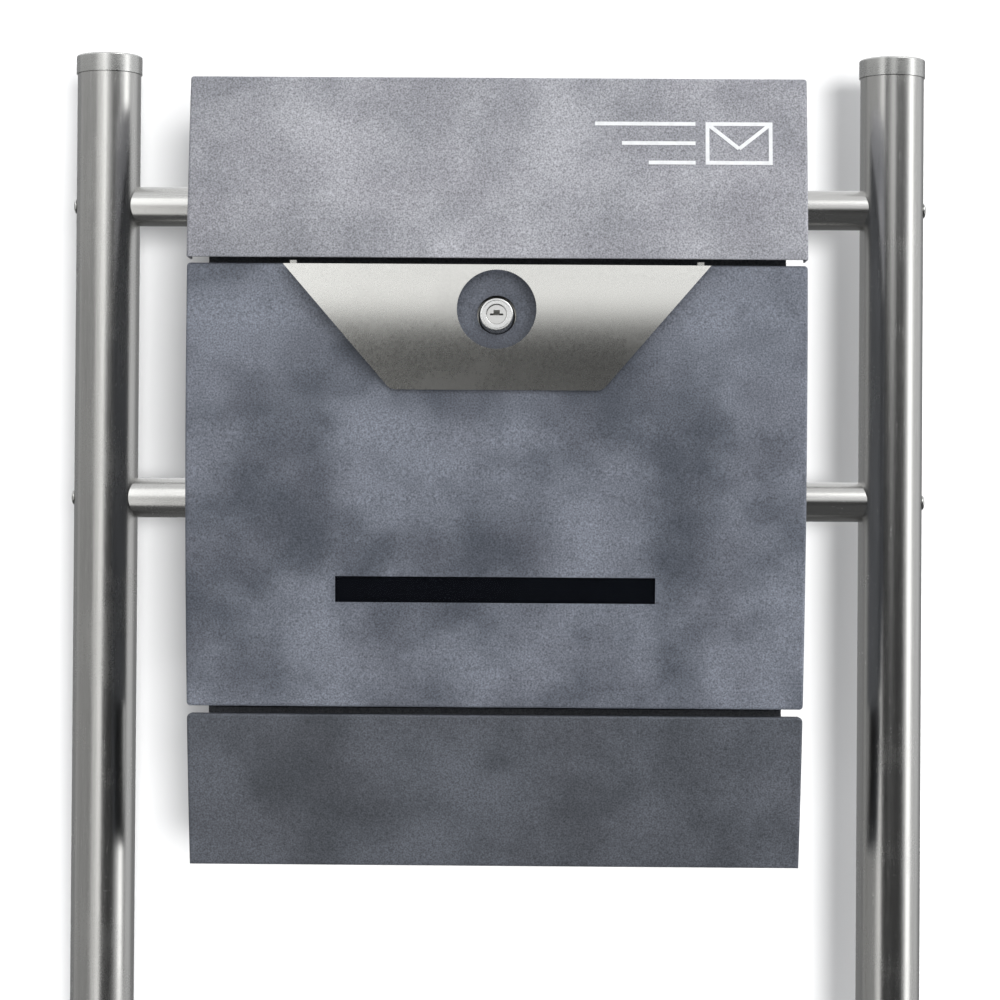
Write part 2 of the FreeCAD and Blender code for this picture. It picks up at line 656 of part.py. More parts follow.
def door_skin():
    """Bowed door panel with the viewing slot, lock hole, stud holes and hinge notches."""
    skin = pan(FRONT, FRONT_W, DOOR_BOTTOM, DOOR_TOP, DOOR_CORNER_R, 0)
    skin = skin.cut(block(-VIEW_W / 2, VIEW_W / 2, 0, 2 * BOX_DEPTH, VIEW_H0, VIEW_H1))
    skin = skin.cut(bar_y(LOCK_HEAD_R + LOCK_HOLE_GAP, 0, 0, 2 * BOX_DEPTH, LOCK_H))
    for x, height in stud_places():
        skin = skin.cut(bar_y(STUD_R, x, 0, 2 * BOX_DEPTH, height))
    for side in (-1, 1):
        notch = span(side, INNER_X - 1, BODY_X + 1)
        inside = FRONT.depth(DOOR_BOTTOM, 2 * SKIN_T)
        skin = skin.cut(block(*notch, 0, inside, DOOR_BOTTOM - 1, DOOR_BOTTOM + 2 * SKIN_T))
    return one_solid(skin)


def newspaper_tray():
    """Bowed front, flat bottom and rear flange; open at both ends."""
    front = pan(FRONT, FRONT_W, 0, TRAY_H, TRAY_CORNER_R, TRAY_H / 2)
    bottom = block(-FRONT_W / 2, FRONT_W / 2, BODY_T, FRONT.depth(0, RETURN - 1), 0, SKIN_T)
    flange = block(-INNER_X, INNER_X, BODY_T, BODY_T + SKIN_T, 0, TRAY_FLANGE_H)
    tray = front.multiFuse([bottom, flange])
    for x, height in tray_rivet_places():
        tray = tray.cut(bar_y(RIVET_R, x, 0, FLANGE, height))
    return one_solid(tray)


def tray_rivets():
    """Rivets that hold the tray to the back panel."""
    grip = BODY_T + SKIN_T
    rivets = []
    for x, height in tray_rivet_places():
        head = bar_y(RIVET_HEAD_R, x, -RIVET_HEAD_T, 0, height)
        set_head = bar_y(RIVET_SET_R, x, grip, grip + RIVET_HEAD_T, height)
        rivets.append(one_solid(head.multiFuse([bar_y(RIVET_R, x, 0, grip, height), set_head])))
    return Part.Compound(rivets)


# ---- lid -----------------------------------------------------------------------------
def lid_outline(rear, top, bottom, inset):
    """Edges of the lid's section at x = 0: top, bowed front, then back to the rear."""
    middle = (top + bottom) / 2
    front_top = at(0, LID_FACE.depth(top, inset), top)
    front_mid = at(0, LID_FACE.depth(middle, inset), middle)
    front_low = at(0, LID_FACE.depth(bottom, inset), bottom)
    return at(0, rear, top), front_top, front_mid, front_low


def lid_cover():
    """Hood with a top, a bowed front, two cheeks and a hem along the lower edge."""
    half = FRONT_W / 2
    rear_top, front_top, front_mid, front_low = lid_outline(LID_REAR, BOX_H, LID_BOTTOM, 0)
    cheek_low = at(0, LID_FACE.depth(LID_BOTTOM) - CHEEK_FOOT, LID_BOTTOM)
    heel = at(0, LID_REAR, BOX_H - CHEEK_HEEL)
    edges = [
        Part.LineSegment(rear_top, front_top).toShape(),
        Part.Arc(front_top, front_mid, front_low).toShape(),
        Part.LineSegment(front_low, cheek_low).toShape(),
        Part.LineSegment(cheek_low, heel).toShape(),
        Part.LineSegment(heel, rear_top).toShape(),
    ]
    face = Part.Face(Part.Wire(edges))
    face.translate(FreeCAD.Vector(-half, 0, 0))
    hood = face.extrude(FreeCAD.Vector(FRONT_W, 0, 0))
    rounded = []
    for edge in front_edges(hood, LID_FACE):
        if edge.BoundBox.ZMax > BOX_BOTTOM + LID_BOTTOM + 1:
            rounded.append(edge)
    for edge in hood.Edges:
        box = edge.BoundBox
        if box.YLength > LID_TOP_D / 2 and box.ZMin > BOX_TOP - NEAR and box.XLength < NEAR:
            rounded.append(edge)
    hood = hood.makeFillet(BEND_R, rounded)
    hood = hood.cut(lid_hollow(half - SKIN_T))
    hood = hood.fuse(slab(LID_FACE, -half + SKIN_T, half - SKIN_T, LID_BOTTOM, LID_BOTTOM + LID_HEM,
                          SKIN_T / 2, 2 * SKIN_T))
    return one_solid(hood.cut(bar_x(ROD_R, -half, half, LID_AXIS_D, LID_AXIS_H)))


def lid_hollow(half):
    """The space inside the hood, open below and behind."""
    low = LID_BOTTOM - 2
    rear_top, front_top, front_mid, front_low = lid_outline(-FLANGE, BOX_H - SKIN_T, low, SKIN_T)
    rear_low = at(0, -FLANGE, low)
    edges = [
        Part.LineSegment(rear_top, front_top).toShape(),
        Part.Arc(front_top, front_mid, front_low).toShape(),
        Part.LineSegment(front_low, rear_low).toShape(),
        Part.LineSegment(rear_low, rear_top).toShape(),
    ]
    face = Part.Face(Part.Wire(edges))
    face.translate(FreeCAD.Vector(-half, 0, 0))
    return face.extrude(FreeCAD.Vector(2 * half, 0, 0))


def lid_rod():
    """Hinge rod, flush with the cheeks."""
    return bar_x(ROD_R, -FRONT_W / 2, FRONT_W / 2, LID_AXIS_D, LID_AXIS_H)


def rod_clip(side):
    """Retaining clip on the rod, inside a side panel."""
    x0, x1 = span(side, INNER_X - CLIP_GAP - CLIP_T, INNER_X - CLIP_GAP)
    clip = bar_x(ROD_R + CLIP_WIDTH, x0, x1, LID_AXIS_D, LID_AXIS_H)
    return clip.cut(bar_x(ROD_R, x0, x1, LID_AXIS_D, LID_AXIS_H))


def sign_bar(x0, x1, h0, h1):
    """An upright block, through the lid face, for cutting out the sign."""
    return block(x0, x1, 0, 2 * BOX_DEPTH, h0, h1)


def sign_stroke(start, end):
    """A straight stroke of the sign between two (x, height) points."""
    dx = end[0] - start[0]
    dh = end[1] - start[1]
    length = math.hypot(dx, dh)
    nx = -dh / length * SIGN_STROKE / 2
    nh = dx / length * SIGN_STROKE / 2
    corners = [(start[0] + nx, start[1] + nh), (end[0] + nx, end[1] + nh),
               (end[0] - nx, end[1] - nh), (start[0] - nx, start[1] - nh)]
    points = [at(x, 0, height) for x, height in corners]
    face = Part.Face(Part.makePolygon(points + points[:1]))
    return face.extrude(FreeCAD.Vector(0, -2 * BOX_DEPTH, 0))


def lid_sign():
    """Thin sign: an envelope with three strokes behind it."""
    middle = BOX_H - SIGN_DROP
    low = middle - SIGN_H / 2
    high = middle + SIGN_H / 2
    right = FRONT_W / 2 - SIGN_INSET
    left = right - SIGN_W
    layer = slab(LID_FACE, left - 2 * SIGN_LINES[0], right, low, high, -SIGN_T, 0)
    frame = sign_bar(left, right, low, high)
    frame = frame.cut(sign_bar(left + SIGN_STROKE, right - SIGN_STROKE,
                               low + SIGN_STROKE, high - SIGN_STROKE))
    tip = (left + SIGN_W / 2, middle - SIGN_H / 8)
    inset = SIGN_STROKE / 2
    flap_left = sign_stroke((left + inset, high - inset), tip)
    flap_right = sign_stroke((right - inset, high - inset), tip)
    pieces = [frame.multiFuse([flap_left, flap_right]).common(layer)]
    pitch = (SIGN_H - SIGN_STROKE) / (len(SIGN_LINES) - 1)
    for index, length in enumerate(SIGN_LINES):
        top = high - pitch * index
        bar = sign_bar(left - SIGN_GAP - length, left - SIGN_GAP, top - SIGN_STROKE, top)
        pieces.append(bar.common(layer))
    return Part.Compound([one_solid(piece) for piece in pieces])


# ---- door hinge ------------------------------------------------------------------------
def hinge_lug(side):
    """Angle on the door's inner face with the eye that holds the hinge pin."""
    outer = INNER_X - LUG_TO_SIDE
    low = DOOR_AXIS_H - EYE_R
    high = low + LUG_H
    flange = slab(FRONT, *span(side, outer - LUG_FLANGE, outer), low, high, SKIN_T, SKIN_T + LUG_T)
    x0, x1 = span(side, outer - LUG_T, outer)
    web = slab(FRONT, x0, x1, low, high, SKIN_T, RETURN + SKIN_T)
    eye = bar_x(EYE_R, x0, x1, DOOR_AXIS_D, DOOR_AXIS_H)
    lug = flange.multiFuse([web, eye])
    lug = lug.cut(bar_x(PIN_R, x0, x1, DOOR_AXIS_D, DOOR_AXIS_H))
    return one_solid(lug)


def hinge_pin(side):
    """Headed pin through a side panel into the lug."""
    tip = INNER_X - LUG_TO_SIDE - LUG_T - PIN_TAIL
    seat = BODY_X + PIN_HEAD_GAP
    shank = bar_x(PIN_R, *span(side, tip, seat), DOOR_AXIS_D, DOOR_AXIS_H)
    head = bar_x(PIN_R + PIN_HEAD_STEP, *span(side, seat, seat + PIN_HEAD_T), DOOR_AXIS_D, DOOR_AXIS_H)
    return one_solid(shank.fuse(head))


# ---- window --------------------------------------------------------------------------
def window_pane():
    """Clear pane behind the viewing slot."""
    half = VIEW_W / 2 + PANE_LAP
    return slab(FRONT, -half, half, VIEW_H0 - PANE_LAP, VIEW_H1 + PANE_LAP, SKIN_T, SKIN_T + PANE_T)


def pane_rail(below):
    """Stepped strip that holds one long edge of the pane."""
    edge = VIEW_H0 - PANE_LAP if below else VIEW_H1 + PANE_LAP
    away = -1 if below else 1
    half = VIEW_W / 2 + PANE_LAP

    def strip(from_edge, to_edge, outer, inner):
        heights = sorted((edge + away * from_edge, edge + away * to_edge))
        return slab(FRONT, -half, half, heights[0], heights[1], outer, inner)

    flange = strip(0, RAIL_FLANGE, SKIN_T, SKIN_T + BODY_T)
    riser = strip(0, BODY_T, SKIN_T, SKIN_T + PANE_T + BODY_T)
    lip = strip(BODY_T, -RAIL_LIP, SKIN_T + PANE_T, SKIN_T + PANE_T + BODY_T)
    return one_solid(flange.multiFuse([riser, lip]))


# ---- trim plate ----------------------------------------------------------------------
def stud_places():
    """(x, height) of the four studs behind the trim plate."""
    upper = TRIM_TOP - STUD_TOP_DROP
    lower = TRIM_BOTTOM + STUD_LOW_RISE
    upper_x = TRIM_TOP_W / 2 - STUD_TOP_INSET
    lower_x = BRACKET_W / 2 + BRACKET_FLANGE + STUD_LOW_GAP
    return [(-upper_x, upper), (upper_x, upper), (-lower_x, lower), (lower_x, lower)]


def trim_plate():
    """Bowed trapezoid with a round window for the lock and two hooks over the door's edge."""
    layer = slab(TRIM_FACE, -TRIM_TOP_W / 2, TRIM_TOP_W / 2, TRIM_BOTTOM, TRIM_TOP, 0, TRIM_T)
    outline = [(-TRIM_TOP_W / 2, TRIM_TOP), (TRIM_TOP_W / 2, TRIM_TOP),
               (TRIM_BOTTOM_W / 2, TRIM_BOTTOM), (-TRIM_BOTTOM_W / 2, TRIM_BOTTOM)]
    points = [at(x, 0, height) for x, height in outline]
    template = Part.Face(Part.makePolygon(points + points[:1]))
    template = template.extrude(FreeCAD.Vector(0, -2 * BOX_DEPTH, 0))
    low_corners = []
    for edge in template.Edges:
        box = edge.BoundBox
        if box.YLength > BOX_DEPTH and box.ZMax < BOX_BOTTOM + TRIM_BOTTOM + 1:
            low_corners.append(edge)
    template = template.makeFillet(TRIM_CORNER_R, low_corners)
    plate = layer.common(template)
    plate = plate.cut(bar_y(TRIM_HOLE_R, 0, 0, 2 * BOX_DEPTH, LOCK_H + TRIM_HOLE_UP))
    face_d = TRIM_FACE.depth(TRIM_TOP)
    hooks = []
    for side in (-1, 1):
        tab_x = TRIM_TOP_W / 2 - TAB_INSET
        x0, x1 = span(side, tab_x - TAB_W / 2, tab_x + TAB_W / 2)
        riser_top = DOOR_TOP + TRIM_T
        hooks.append(block(x0, x1, face_d - TRIM_T, face_d, TRIM_TOP - 1, riser_top))
        hooks.append(block(x0, x1, face_d - TAB_REACH, face_d, DOOR_TOP + TRIM_T / 4, riser_top))
    return one_solid(plate.multiFuse(hooks))


def behind_trim(h0, h1):
    """Everything behind the plate's rear face between two heights."""
    return slab(TRIM_FACE, -TRIM_TOP_W, TRIM_TOP_W, h0, h1, TRIM_T, BOX_DEPTH / 2)


def trim_studs():
    """Studs welded to the plate, through the door skin."""
    studs = []
    for x, height in stud_places():
        bar = bar_y(STUD_R, x, FRONT.depth(height, SKIN_T + STUD_BEHIND), 2 * BOX_DEPTH, height)
        studs.append(one_solid(bar.common(behind_trim(height - FLANGE, height + FLANGE))))
    return Part.Compound(studs)


def trim_spacers():
    """Sleeves between the plate and the door skin."""
    sleeves = []
    for x, height in stud_places():
        bar = bar_y(SPACER_R, x, 0, 2 * BOX_DEPTH, height)
        bar = bar.cut(bar_y(STUD_R, x, 0, 2 * BOX_DEPTH, height))
        low = height - FLANGE
        high = height + FLANGE
        bar = bar.common(behind_trim(low, high))
        bar = bar.cut(slab(FRONT, x - FLANGE, x + FLANGE, low, high, 0, BOX_DEPTH))
        sleeves.append(one_solid(bar))
    return Part.Compound(sleeves)


def trim_nuts():
    """Nuts on the studs, inside the door."""
    nuts = []
    for x, height in stud_places():
        base = at(x, FRONT.depth(height, SKIN_T + NUT_T), height)
        nut = hexagon(NUT_AF, 2 * NUT_T, base, FreeCAD.Vector(0, -1, 0))
        nut = nut.cut(bar_y(STUD_R, x, 0, 2 * BOX_DEPTH, height))
        inside = slab(FRONT, x - FLANGE, x + FLANGE, height - FLANGE, height + FLANGE,
                      SKIN_T, BOX_DEPTH / 2)
        nuts.append(one_solid(nut.common(inside)))
    return Part.Compound(nuts)


# ---- lock ----------------------------------------------------------------------------
def on_lock(shape):
    """Move a shape from lock axes (x right, y up the face, z out) to its place."""
    turn = FreeCAD.Rotation(FreeCAD.Vector(1, 0, 0), 90 - LOCK_TILT)
    shape.Placement = FreeCAD.Placement(at(0, LOCK_D, LOCK_H), turn)
    return shape


def lock_bar(radius, z0, z1):
    """A round bar on the lock's own z axis."""
    return Part.makeCylinder(radius, z1 - z0, FreeCAD.Vector(0, 0, z0))


def lock_block(width, height, z0, z1):
    """A block centred on the lock's own z axis."""
    return Part.makeBox(width, height, z1 - z0, FreeCAD.Vector(-width / 2, -height / 2, z0))


def lock_body():
    """Housing with a tapered head; the plug turns in its bore."""
    seat = -LOCK_SINK
    shoulder = seat + LOCK_RIM_H
    head = lock_bar(LOCK_HEAD_R, seat, shoulder)
    taper = Part.makeCone(LOCK_HEAD_R, LOCK_FACE_R, LOCK_FACE_OUT - shoulder, FreeCAD.Vector(0, 0, shoulder))
    rim = [edge for edge in taper.Edges if edge.BoundBox.ZMin > LOCK_FACE_OUT - NEAR]
    taper = taper.makeFillet(HEAD_ROUND, rim)
    barrel = lock_bar(LOCK_BARREL_R, LOCK_BARREL_END, seat)
    body = head.multiFuse([taper, barrel])
    return on_lock(one_solid(body.cut(lock_bar(PLUG_R + RUN_GAP, LOCK_BARREL_END, LOCK_FACE_OUT))))


def lock_nut():
    """Hexagonal nut that clamps the housing to the bracket."""
    top = -LOCK_SINK - BRACKET_T
    base = FreeCAD.Vector(0, 0, top - LOCK_NUT_T)
    nut = hexagon(LOCK_NUT_AF, LOCK_NUT_T, base, FreeCAD.Vector(0, 0, 1))
    return on_lock(one_solid(nut.cut(lock_bar(LOCK_BARREL_R, LOCK_BARREL_END, 0))))


def lock_plug():
    """Plug with a stepped keyway in front and a square for the cam behind."""
    cam_face = LOCK_BARREL_END - RUN_GAP
    plug = lock_bar(PLUG_R, cam_face, PLUG_FACE_OUT)
    square = lock_block(SQUARE, SQUARE, cam_face - CAM_T, cam_face)
    plug = plug.fuse(square)
    slot = lock_block(KEY_SLOT_W, KEY_SLOT_H, PLUG_FACE_OUT - KEY_DEPTH, PLUG_FACE_OUT)
    step = Part.makeBox(KEY_STEP_W, KEY_STEP_H + KEY_SLOT_H / 2, KEY_DEPTH,
                        FreeCAD.Vector(-KEY_STEP_W / 2, 0, PLUG_FACE_OUT - KEY_DEPTH))
    plug = plug.cut(slot.fuse(step))
    return on_lock(one_solid(plug.cut(lock_bar(CAM_SCREW_R, cam_face - CAM_T, cam_face + CAM_SCREW_GRIP))))


def lock_cam():
    """Flat cam, pointing to +X when unlocked."""
    top = LOCK_BARREL_END - RUN_GAP
    base = top - CAM_T
    bar = Part.makeBox(CAM_REACH - CAM_W / 2, CAM_W, CAM_T, FreeCAD.Vector(0, -CAM_W / 2, base))
    tip = Part.makeCylinder(CAM_W / 2, CAM_T, FreeCAD.Vector(CAM_REACH - CAM_W / 2, 0, base))
    cam = lock_bar(CAM_W / 2, base, top).multiFuse([bar, tip])
    return on_lock(one_solid(cam.cut(lock_block(SQUARE, SQUARE, base, top))))


def cam_screw():
    """Screw and integral washer that hold the cam."""
    base = LOCK_BARREL_END - RUN_GAP - CAM_T
    head = lock_bar(CAM_SCREW_HEAD_R, base - CAM_SCREW_HEAD_T, base)
    shank = lock_bar(CAM_SCREW_R, base, base + CAM_T + CAM_SCREW_GRIP)
    return on_lock(one_solid(head.fuse(shank)))


def lock_bracket():
    """Hat-shaped bracket on the door's inner face; the lock is seated on it."""
    seat = -LOCK_SINK
    plate = lock_block(BRACKET_W, BRACKET_H, seat - BRACKET_T, seat)
    legs = []
    for side in (-1, 1):
        x0, x1 = span(side, BRACKET_W / 2 - BRACKET_T, BRACKET_W / 2)
        legs.append(Part.makeBox(x1 - x0, BRACKET_H, BRACKET_LEG,
                                 FreeCAD.Vector(x0, -BRACKET_H / 2, seat - BRACKET_T)))
    hat = on_lock(plate.multiFuse(legs))
    low = LOCK_H - BRACKET_H / 2 - BRACKET_EASE
    high = min(LOCK_H + BRACKET_H / 2 + BRACKET_EASE, DOOR_TOP - 2 * SKIN_T)
    inside = slab(FRONT, -BRACKET_W, BRACKET_W, low, high, SKIN_T, BOX_DEPTH / 2)
    hat = hat.common(inside)
    flanges = []
    for side in (-1, 1):
        limits = span(side, BRACKET_W / 2 - BRACKET_T, BRACKET_W / 2 + BRACKET_FLANGE)
        reach = BRACKET_H / 2 - BRACKET_RELIEF
        flanges.append(slab(FRONT, *limits, LOCK_H - reach, LOCK_H + reach, SKIN_T, SKIN_T + BRACKET_T))
    hat = hat.multiFuse(flanges)
    hole = on_lock(lock_bar(LOCK_BARREL_R + SEAT_CLEAR, LOCK_BARREL_END, 0))
    return one_solid(hat.cut(hole))


# ---- all the pieces --------------------------------------------------------------------
def build():
    """Every sub-part by its node name."""
    return {
        "post_left": post(-1),
        "post_right": post(1),
        "post_cap_left": post_cap(-1),
        "post_cap_right": post_cap(1),
        "foot_plate_left": foot_plate(-1),
        "foot_plate_right": foot_plate(1),
        "foot_welds": both_sides(foot_weld),
        "cross_tube_upper": cross_tube(TUBE_HEIGHTS[0]),
        "cross_tube_lower": cross_tube(TUBE_HEIGHTS[1]),
        "cross_tube_plugs": at_four_ends(tube_plug),
        "cross_tube_screws": at_four_ends(tube_screw),
        "box_bolts": box_bolts(),
        "box_washers": box_washers(),
        "rivet_nuts": rivet_nuts(),
        "back_panel": back_panel(),
        "side_panel_left": side_panel(-1),
        "side_panel_right": side_panel(1),
        "roof_panel": roof_panel(),
        "floor_panel": floor_panel(),
        "slot_frame": slot_frame(),
        "mail_baffle": mail_baffle(),
        "lid_bumpers": both_sides(bumper),
        "newspaper_tray": newspaper_tray(),
        "tray_rivets": tray_rivets(),
        "lid_cover": lid_cover(),
        "lid_hinge_rod": lid_rod(),
        "lid_rod_clips": both_sides(rod_clip),
        "lid_sign": lid_sign(),
        "door_skin": door_skin(),
        "door_hinge_lugs": both_sides(hinge_lug),
        "door_hinge_pins": both_sides(hinge_pin),
        "window_pane": window_pane(),
        "pane_rail_upper": pane_rail(False),
        "pane_rail_lower": pane_rail(True),
        "trim_plate": trim_plate(),
        "trim_studs": trim_studs(),
        "trim_spacers": trim_spacers(),
        "trim_nuts": trim_nuts(),
        "lock_bracket": lock_bracket(),
        "lock_body": lock_body(),
        "lock_nut": lock_nut(),
        "lock_plug": lock_plug(),
        "lock_cam": lock_cam(),
        "cam_screw": cam_screw(),
    }


if __name__ == "__main__":
    os.makedirs("parts", exist_ok=True)
    for name, shape in build().items():
        if not shape.isValid():
            raise ValueError(name + " is not a valid shape")
        shape.exportStep("parts/" + name + ".step")
        print(name, len(shape.Solids), round(shape.Volume, 1))
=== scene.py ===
"""Looks of a mailbox on a two-post steel stand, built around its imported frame. Metres, +Z up, +Y to the rear."""

import json
import logging
import math
from dataclasses import dataclass
from enum import Enum
from typing import Callable, Iterable, Sequence, Union

import bmesh
import bpy
from mathutils import Matrix, Vector

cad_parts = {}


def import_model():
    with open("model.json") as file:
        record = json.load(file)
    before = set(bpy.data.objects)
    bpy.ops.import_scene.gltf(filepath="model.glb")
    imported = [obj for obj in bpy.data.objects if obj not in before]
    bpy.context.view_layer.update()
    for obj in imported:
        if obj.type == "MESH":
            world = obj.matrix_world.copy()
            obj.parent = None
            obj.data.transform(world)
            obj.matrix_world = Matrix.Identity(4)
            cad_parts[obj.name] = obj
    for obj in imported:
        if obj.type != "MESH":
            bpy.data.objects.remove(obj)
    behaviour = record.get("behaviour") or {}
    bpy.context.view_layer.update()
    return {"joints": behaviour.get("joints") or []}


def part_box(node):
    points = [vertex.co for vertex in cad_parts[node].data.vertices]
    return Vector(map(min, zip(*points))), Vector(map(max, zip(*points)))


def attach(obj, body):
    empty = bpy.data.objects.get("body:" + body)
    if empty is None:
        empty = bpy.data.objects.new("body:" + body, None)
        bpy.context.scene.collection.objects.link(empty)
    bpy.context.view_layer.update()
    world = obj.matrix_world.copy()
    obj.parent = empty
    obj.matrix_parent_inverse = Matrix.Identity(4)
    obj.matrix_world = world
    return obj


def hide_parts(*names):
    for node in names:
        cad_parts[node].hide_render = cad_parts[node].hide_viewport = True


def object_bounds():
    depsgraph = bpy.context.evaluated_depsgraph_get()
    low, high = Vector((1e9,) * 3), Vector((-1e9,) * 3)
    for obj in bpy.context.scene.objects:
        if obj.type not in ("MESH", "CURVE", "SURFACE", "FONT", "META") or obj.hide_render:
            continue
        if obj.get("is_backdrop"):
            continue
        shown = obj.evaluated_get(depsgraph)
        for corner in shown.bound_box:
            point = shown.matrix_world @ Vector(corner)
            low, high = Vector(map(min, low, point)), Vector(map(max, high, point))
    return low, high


LOG = logging.getLogger("mailbox")
MM = 0.001
NEAR = 1e-6  # places closer than this are one
PAST = 10 * MM  # how far a cutter reaches past what it cuts
QUARTER = math.pi / 2

Colour = tuple[float, float, float]
Point = Sequence[float]
Test = Callable[[Vector, Vector], bool]


# ---- shader graphs
class Value:
    """A number that varies over a surface: an output socket that takes part in arithmetic."""

    def __init__(self, graph: "Graph", socket: bpy.types.NodeSocket) -> None:
        """Wrap an output socket of a graph."""
        self.graph = graph
        self.socket = socket

    def _math(self, operation: str, *operands: "Operand") -> "Value":
        """The result of a Math node."""
        return self.graph.value("Math", dict(enumerate(operands)), operation=operation)

    def __add__(self, other: "Operand") -> "Value":
        """This value plus another."""
        return self._math("ADD", self, other)

    def __sub__(self, other: "Operand") -> "Value":
        """This value less another."""
        return self._math("SUBTRACT", self, other)

    def __rsub__(self, other: "Operand") -> "Value":
        """Another value less this one."""
        return self._math("SUBTRACT", other, self)

    def __mul__(self, other: "Operand") -> "Value":
        """This value times another."""
        return self._math("MULTIPLY", self, other)

    __radd__ = __add__
    __rmul__ = __mul__

    def between(self, low: float, high: float) -> "Value":
        """The eased share, 0 to 1, of the way from low to high."""
        sockets = {"Value": self, "From Min": low, "From Max": high}
        return self.graph.value("MapRange", sockets, interpolation_type="SMOOTHSTEP")


Operand = Union[Value, float, int]


class Graph:
    """A node tree that finishes write to."""

    def __init__(self, tree: bpy.types.NodeTree) -> None:
        """Clear a material's or the world's tree for a new graph."""
        self.tree = tree
        tree.nodes.clear()

    def add(self, kind: str, sockets: dict, **settings: object) -> bpy.types.Node:
        """Add a node.

        Args:
            kind: the node's type, without its first part.
            sockets: values or links by the input's name or number.
            settings: properties set before the sockets.

        Returns:
            The new node.
        """
        node = self.tree.nodes.new("ShaderNode" + kind)
        for name, value in settings.items():
            setattr(node, name, value)
        for name, value in sockets.items():
            target = node.inputs[name]
            source = value.socket if isinstance(value, Value) else value
            if isinstance(source, bpy.types.NodeSocket):
                self.tree.links.new(source, target)
            else:
                target.default_value = (*source, 1.0) if target.type == "RGBA" and len(source) == 3 else source
        return node

    def value(self, kind: str, sockets: dict, **settings: object) -> Value:
        """The first output of a new node, as a value."""
        return Value(self, self.add(kind, sockets, **settings).outputs[0])

    def place(self) -> bpy.types.NodeSocket:
        """The point on the piece, in metres."""
        return self.add("TexCoord", {}).outputs["Object"]

    def stretched(self, scale: Point) -> bpy.types.NodeSocket:
        """The point on the piece, scaled along each axis."""
        return self.add("Mapping", {"Vector": self.place(), "Scale": scale}).outputs["Vector"]

    def noise(self, scale: float, detail: float, rough: float, seed: float = 0.0, at: object = None) -> Value:
        """Soft noise about 0.5, scale waves to the metre, in the pattern that seed picks."""
        sockets = {"Vector": at or self.place(), "W": seed, "Scale": scale, "Detail": detail, "Roughness": rough}
        return self.value("TexNoise", sockets, noise_dimensions="4D")

    def blend(self, share: Operand, low: object, high: object) -> bpy.types.NodeSocket:
        """The first colour where share is 0, the second where it is 1."""
        return self.add("Mix", {0: share, 6: low, 7: high}, data_type="RGBA").outputs[2]

    def bump(self, height: Value, distance: float, strength: float) -> bpy.types.NodeSocket:
        """The normal of a relief, where a height of 1 stands for the distance."""
        return self.add("Bump", {"Strength": strength, "Distance": distance, "Height": height}).outputs[0]

    def surface(self, **sockets: object) -> None:
        """Close a material's graph with a Principled shader.

        Args:
            sockets: inputs, with underscores for the spaces in their names.
        """
        named = {name.replace("_", " "): value for name, value in sockets.items()}
        shader = self.add("BsdfPrincipled", named)
        self.add("OutputMaterial", {"Surface": shader.outputs[0]})


# ---- finishes
class Grain(Enum):
    """Which way a metal's brushing runs."""

    ALONG_X = (0.03, 1.0, 1.0)
    ALONG_Z = (1.0, 1.0, 0.03)
    NONE = (1.0, 1.0, 1.0)


@dataclass(frozen=True)
class Finish:
    """A surface finish that becomes one material."""

    name: str

    def write(self, graph: Graph) -> None:
        """Fill the material's graph; each finish has its own."""
        raise NotImplementedError

    def material(self) -> bpy.types.Material:
        """The material, made on first use.

        Returns:
            The material.
        """
        label = self.name + "_finish"
        found = bpy.data.materials.get(label)
        if found is None:
            found = bpy.data.materials.new(label)
            found.use_nodes = True
            self.write(Graph(found.node_tree))
        return found


@dataclass(frozen=True)
class PowderCoat(Finish):
    """Clouded powder coat with a fine grain."""

    dark: Colour
    light: Colour
    tint: Colour = (0.2, 0.2, 0.2)
    seed: float = 0.0
    contrast: float = 1.0
    cloud: float = 14.0
    grain: float = 0.3
    rough: float = 0.5

    def write(self, graph: Graph) -> None:
        """Write clouds, a second tint, the grain and its relief.

        Args:
            graph: the material's graph.
        """
        broad = graph.noise(self.cloud, 2.0, 0.5, self.seed)
        patches = graph.noise(self.cloud * 2.6, 3.0, 0.55, self.seed + 3)
        clouds = ((broad - 0.5) * 2.3 + (patches - 0.5) * 1.2) * self.contrast + 0.5
        hue = graph.noise(self.cloud * 1.7, 2.0, 0.5, self.seed + 7).between(0.4, 0.72)
        speckle = graph.noise(980.0, 1.0, 0.5, self.seed)
        coarse = graph.noise(420.0, 1.0, 0.5, self.seed + 1)
        grain = (speckle - 0.5) * self.grain * 6.5 + (coarse - 0.5) * self.grain * 0.8
        base = graph.blend(clouds.between(-0.05, 1.05), self.dark, self.light)
        tinted = graph.blend(hue * 0.35, base, self.tint)
        shaded = graph.add("HueSaturation", {"Value": 1.0 + grain, "Color": tinted})
        graph.surface(
            Base_Color=shaded.outputs[0],
            Roughness=self.rough + (coarse - 0.5) * 0.12 - (clouds - 0.5) * 0.04,
            Specular_IOR_Level=0.45,
            Normal=graph.bump(speckle * 0.7 + coarse * 0.6, 0.22 * MM, 0.55),
        )


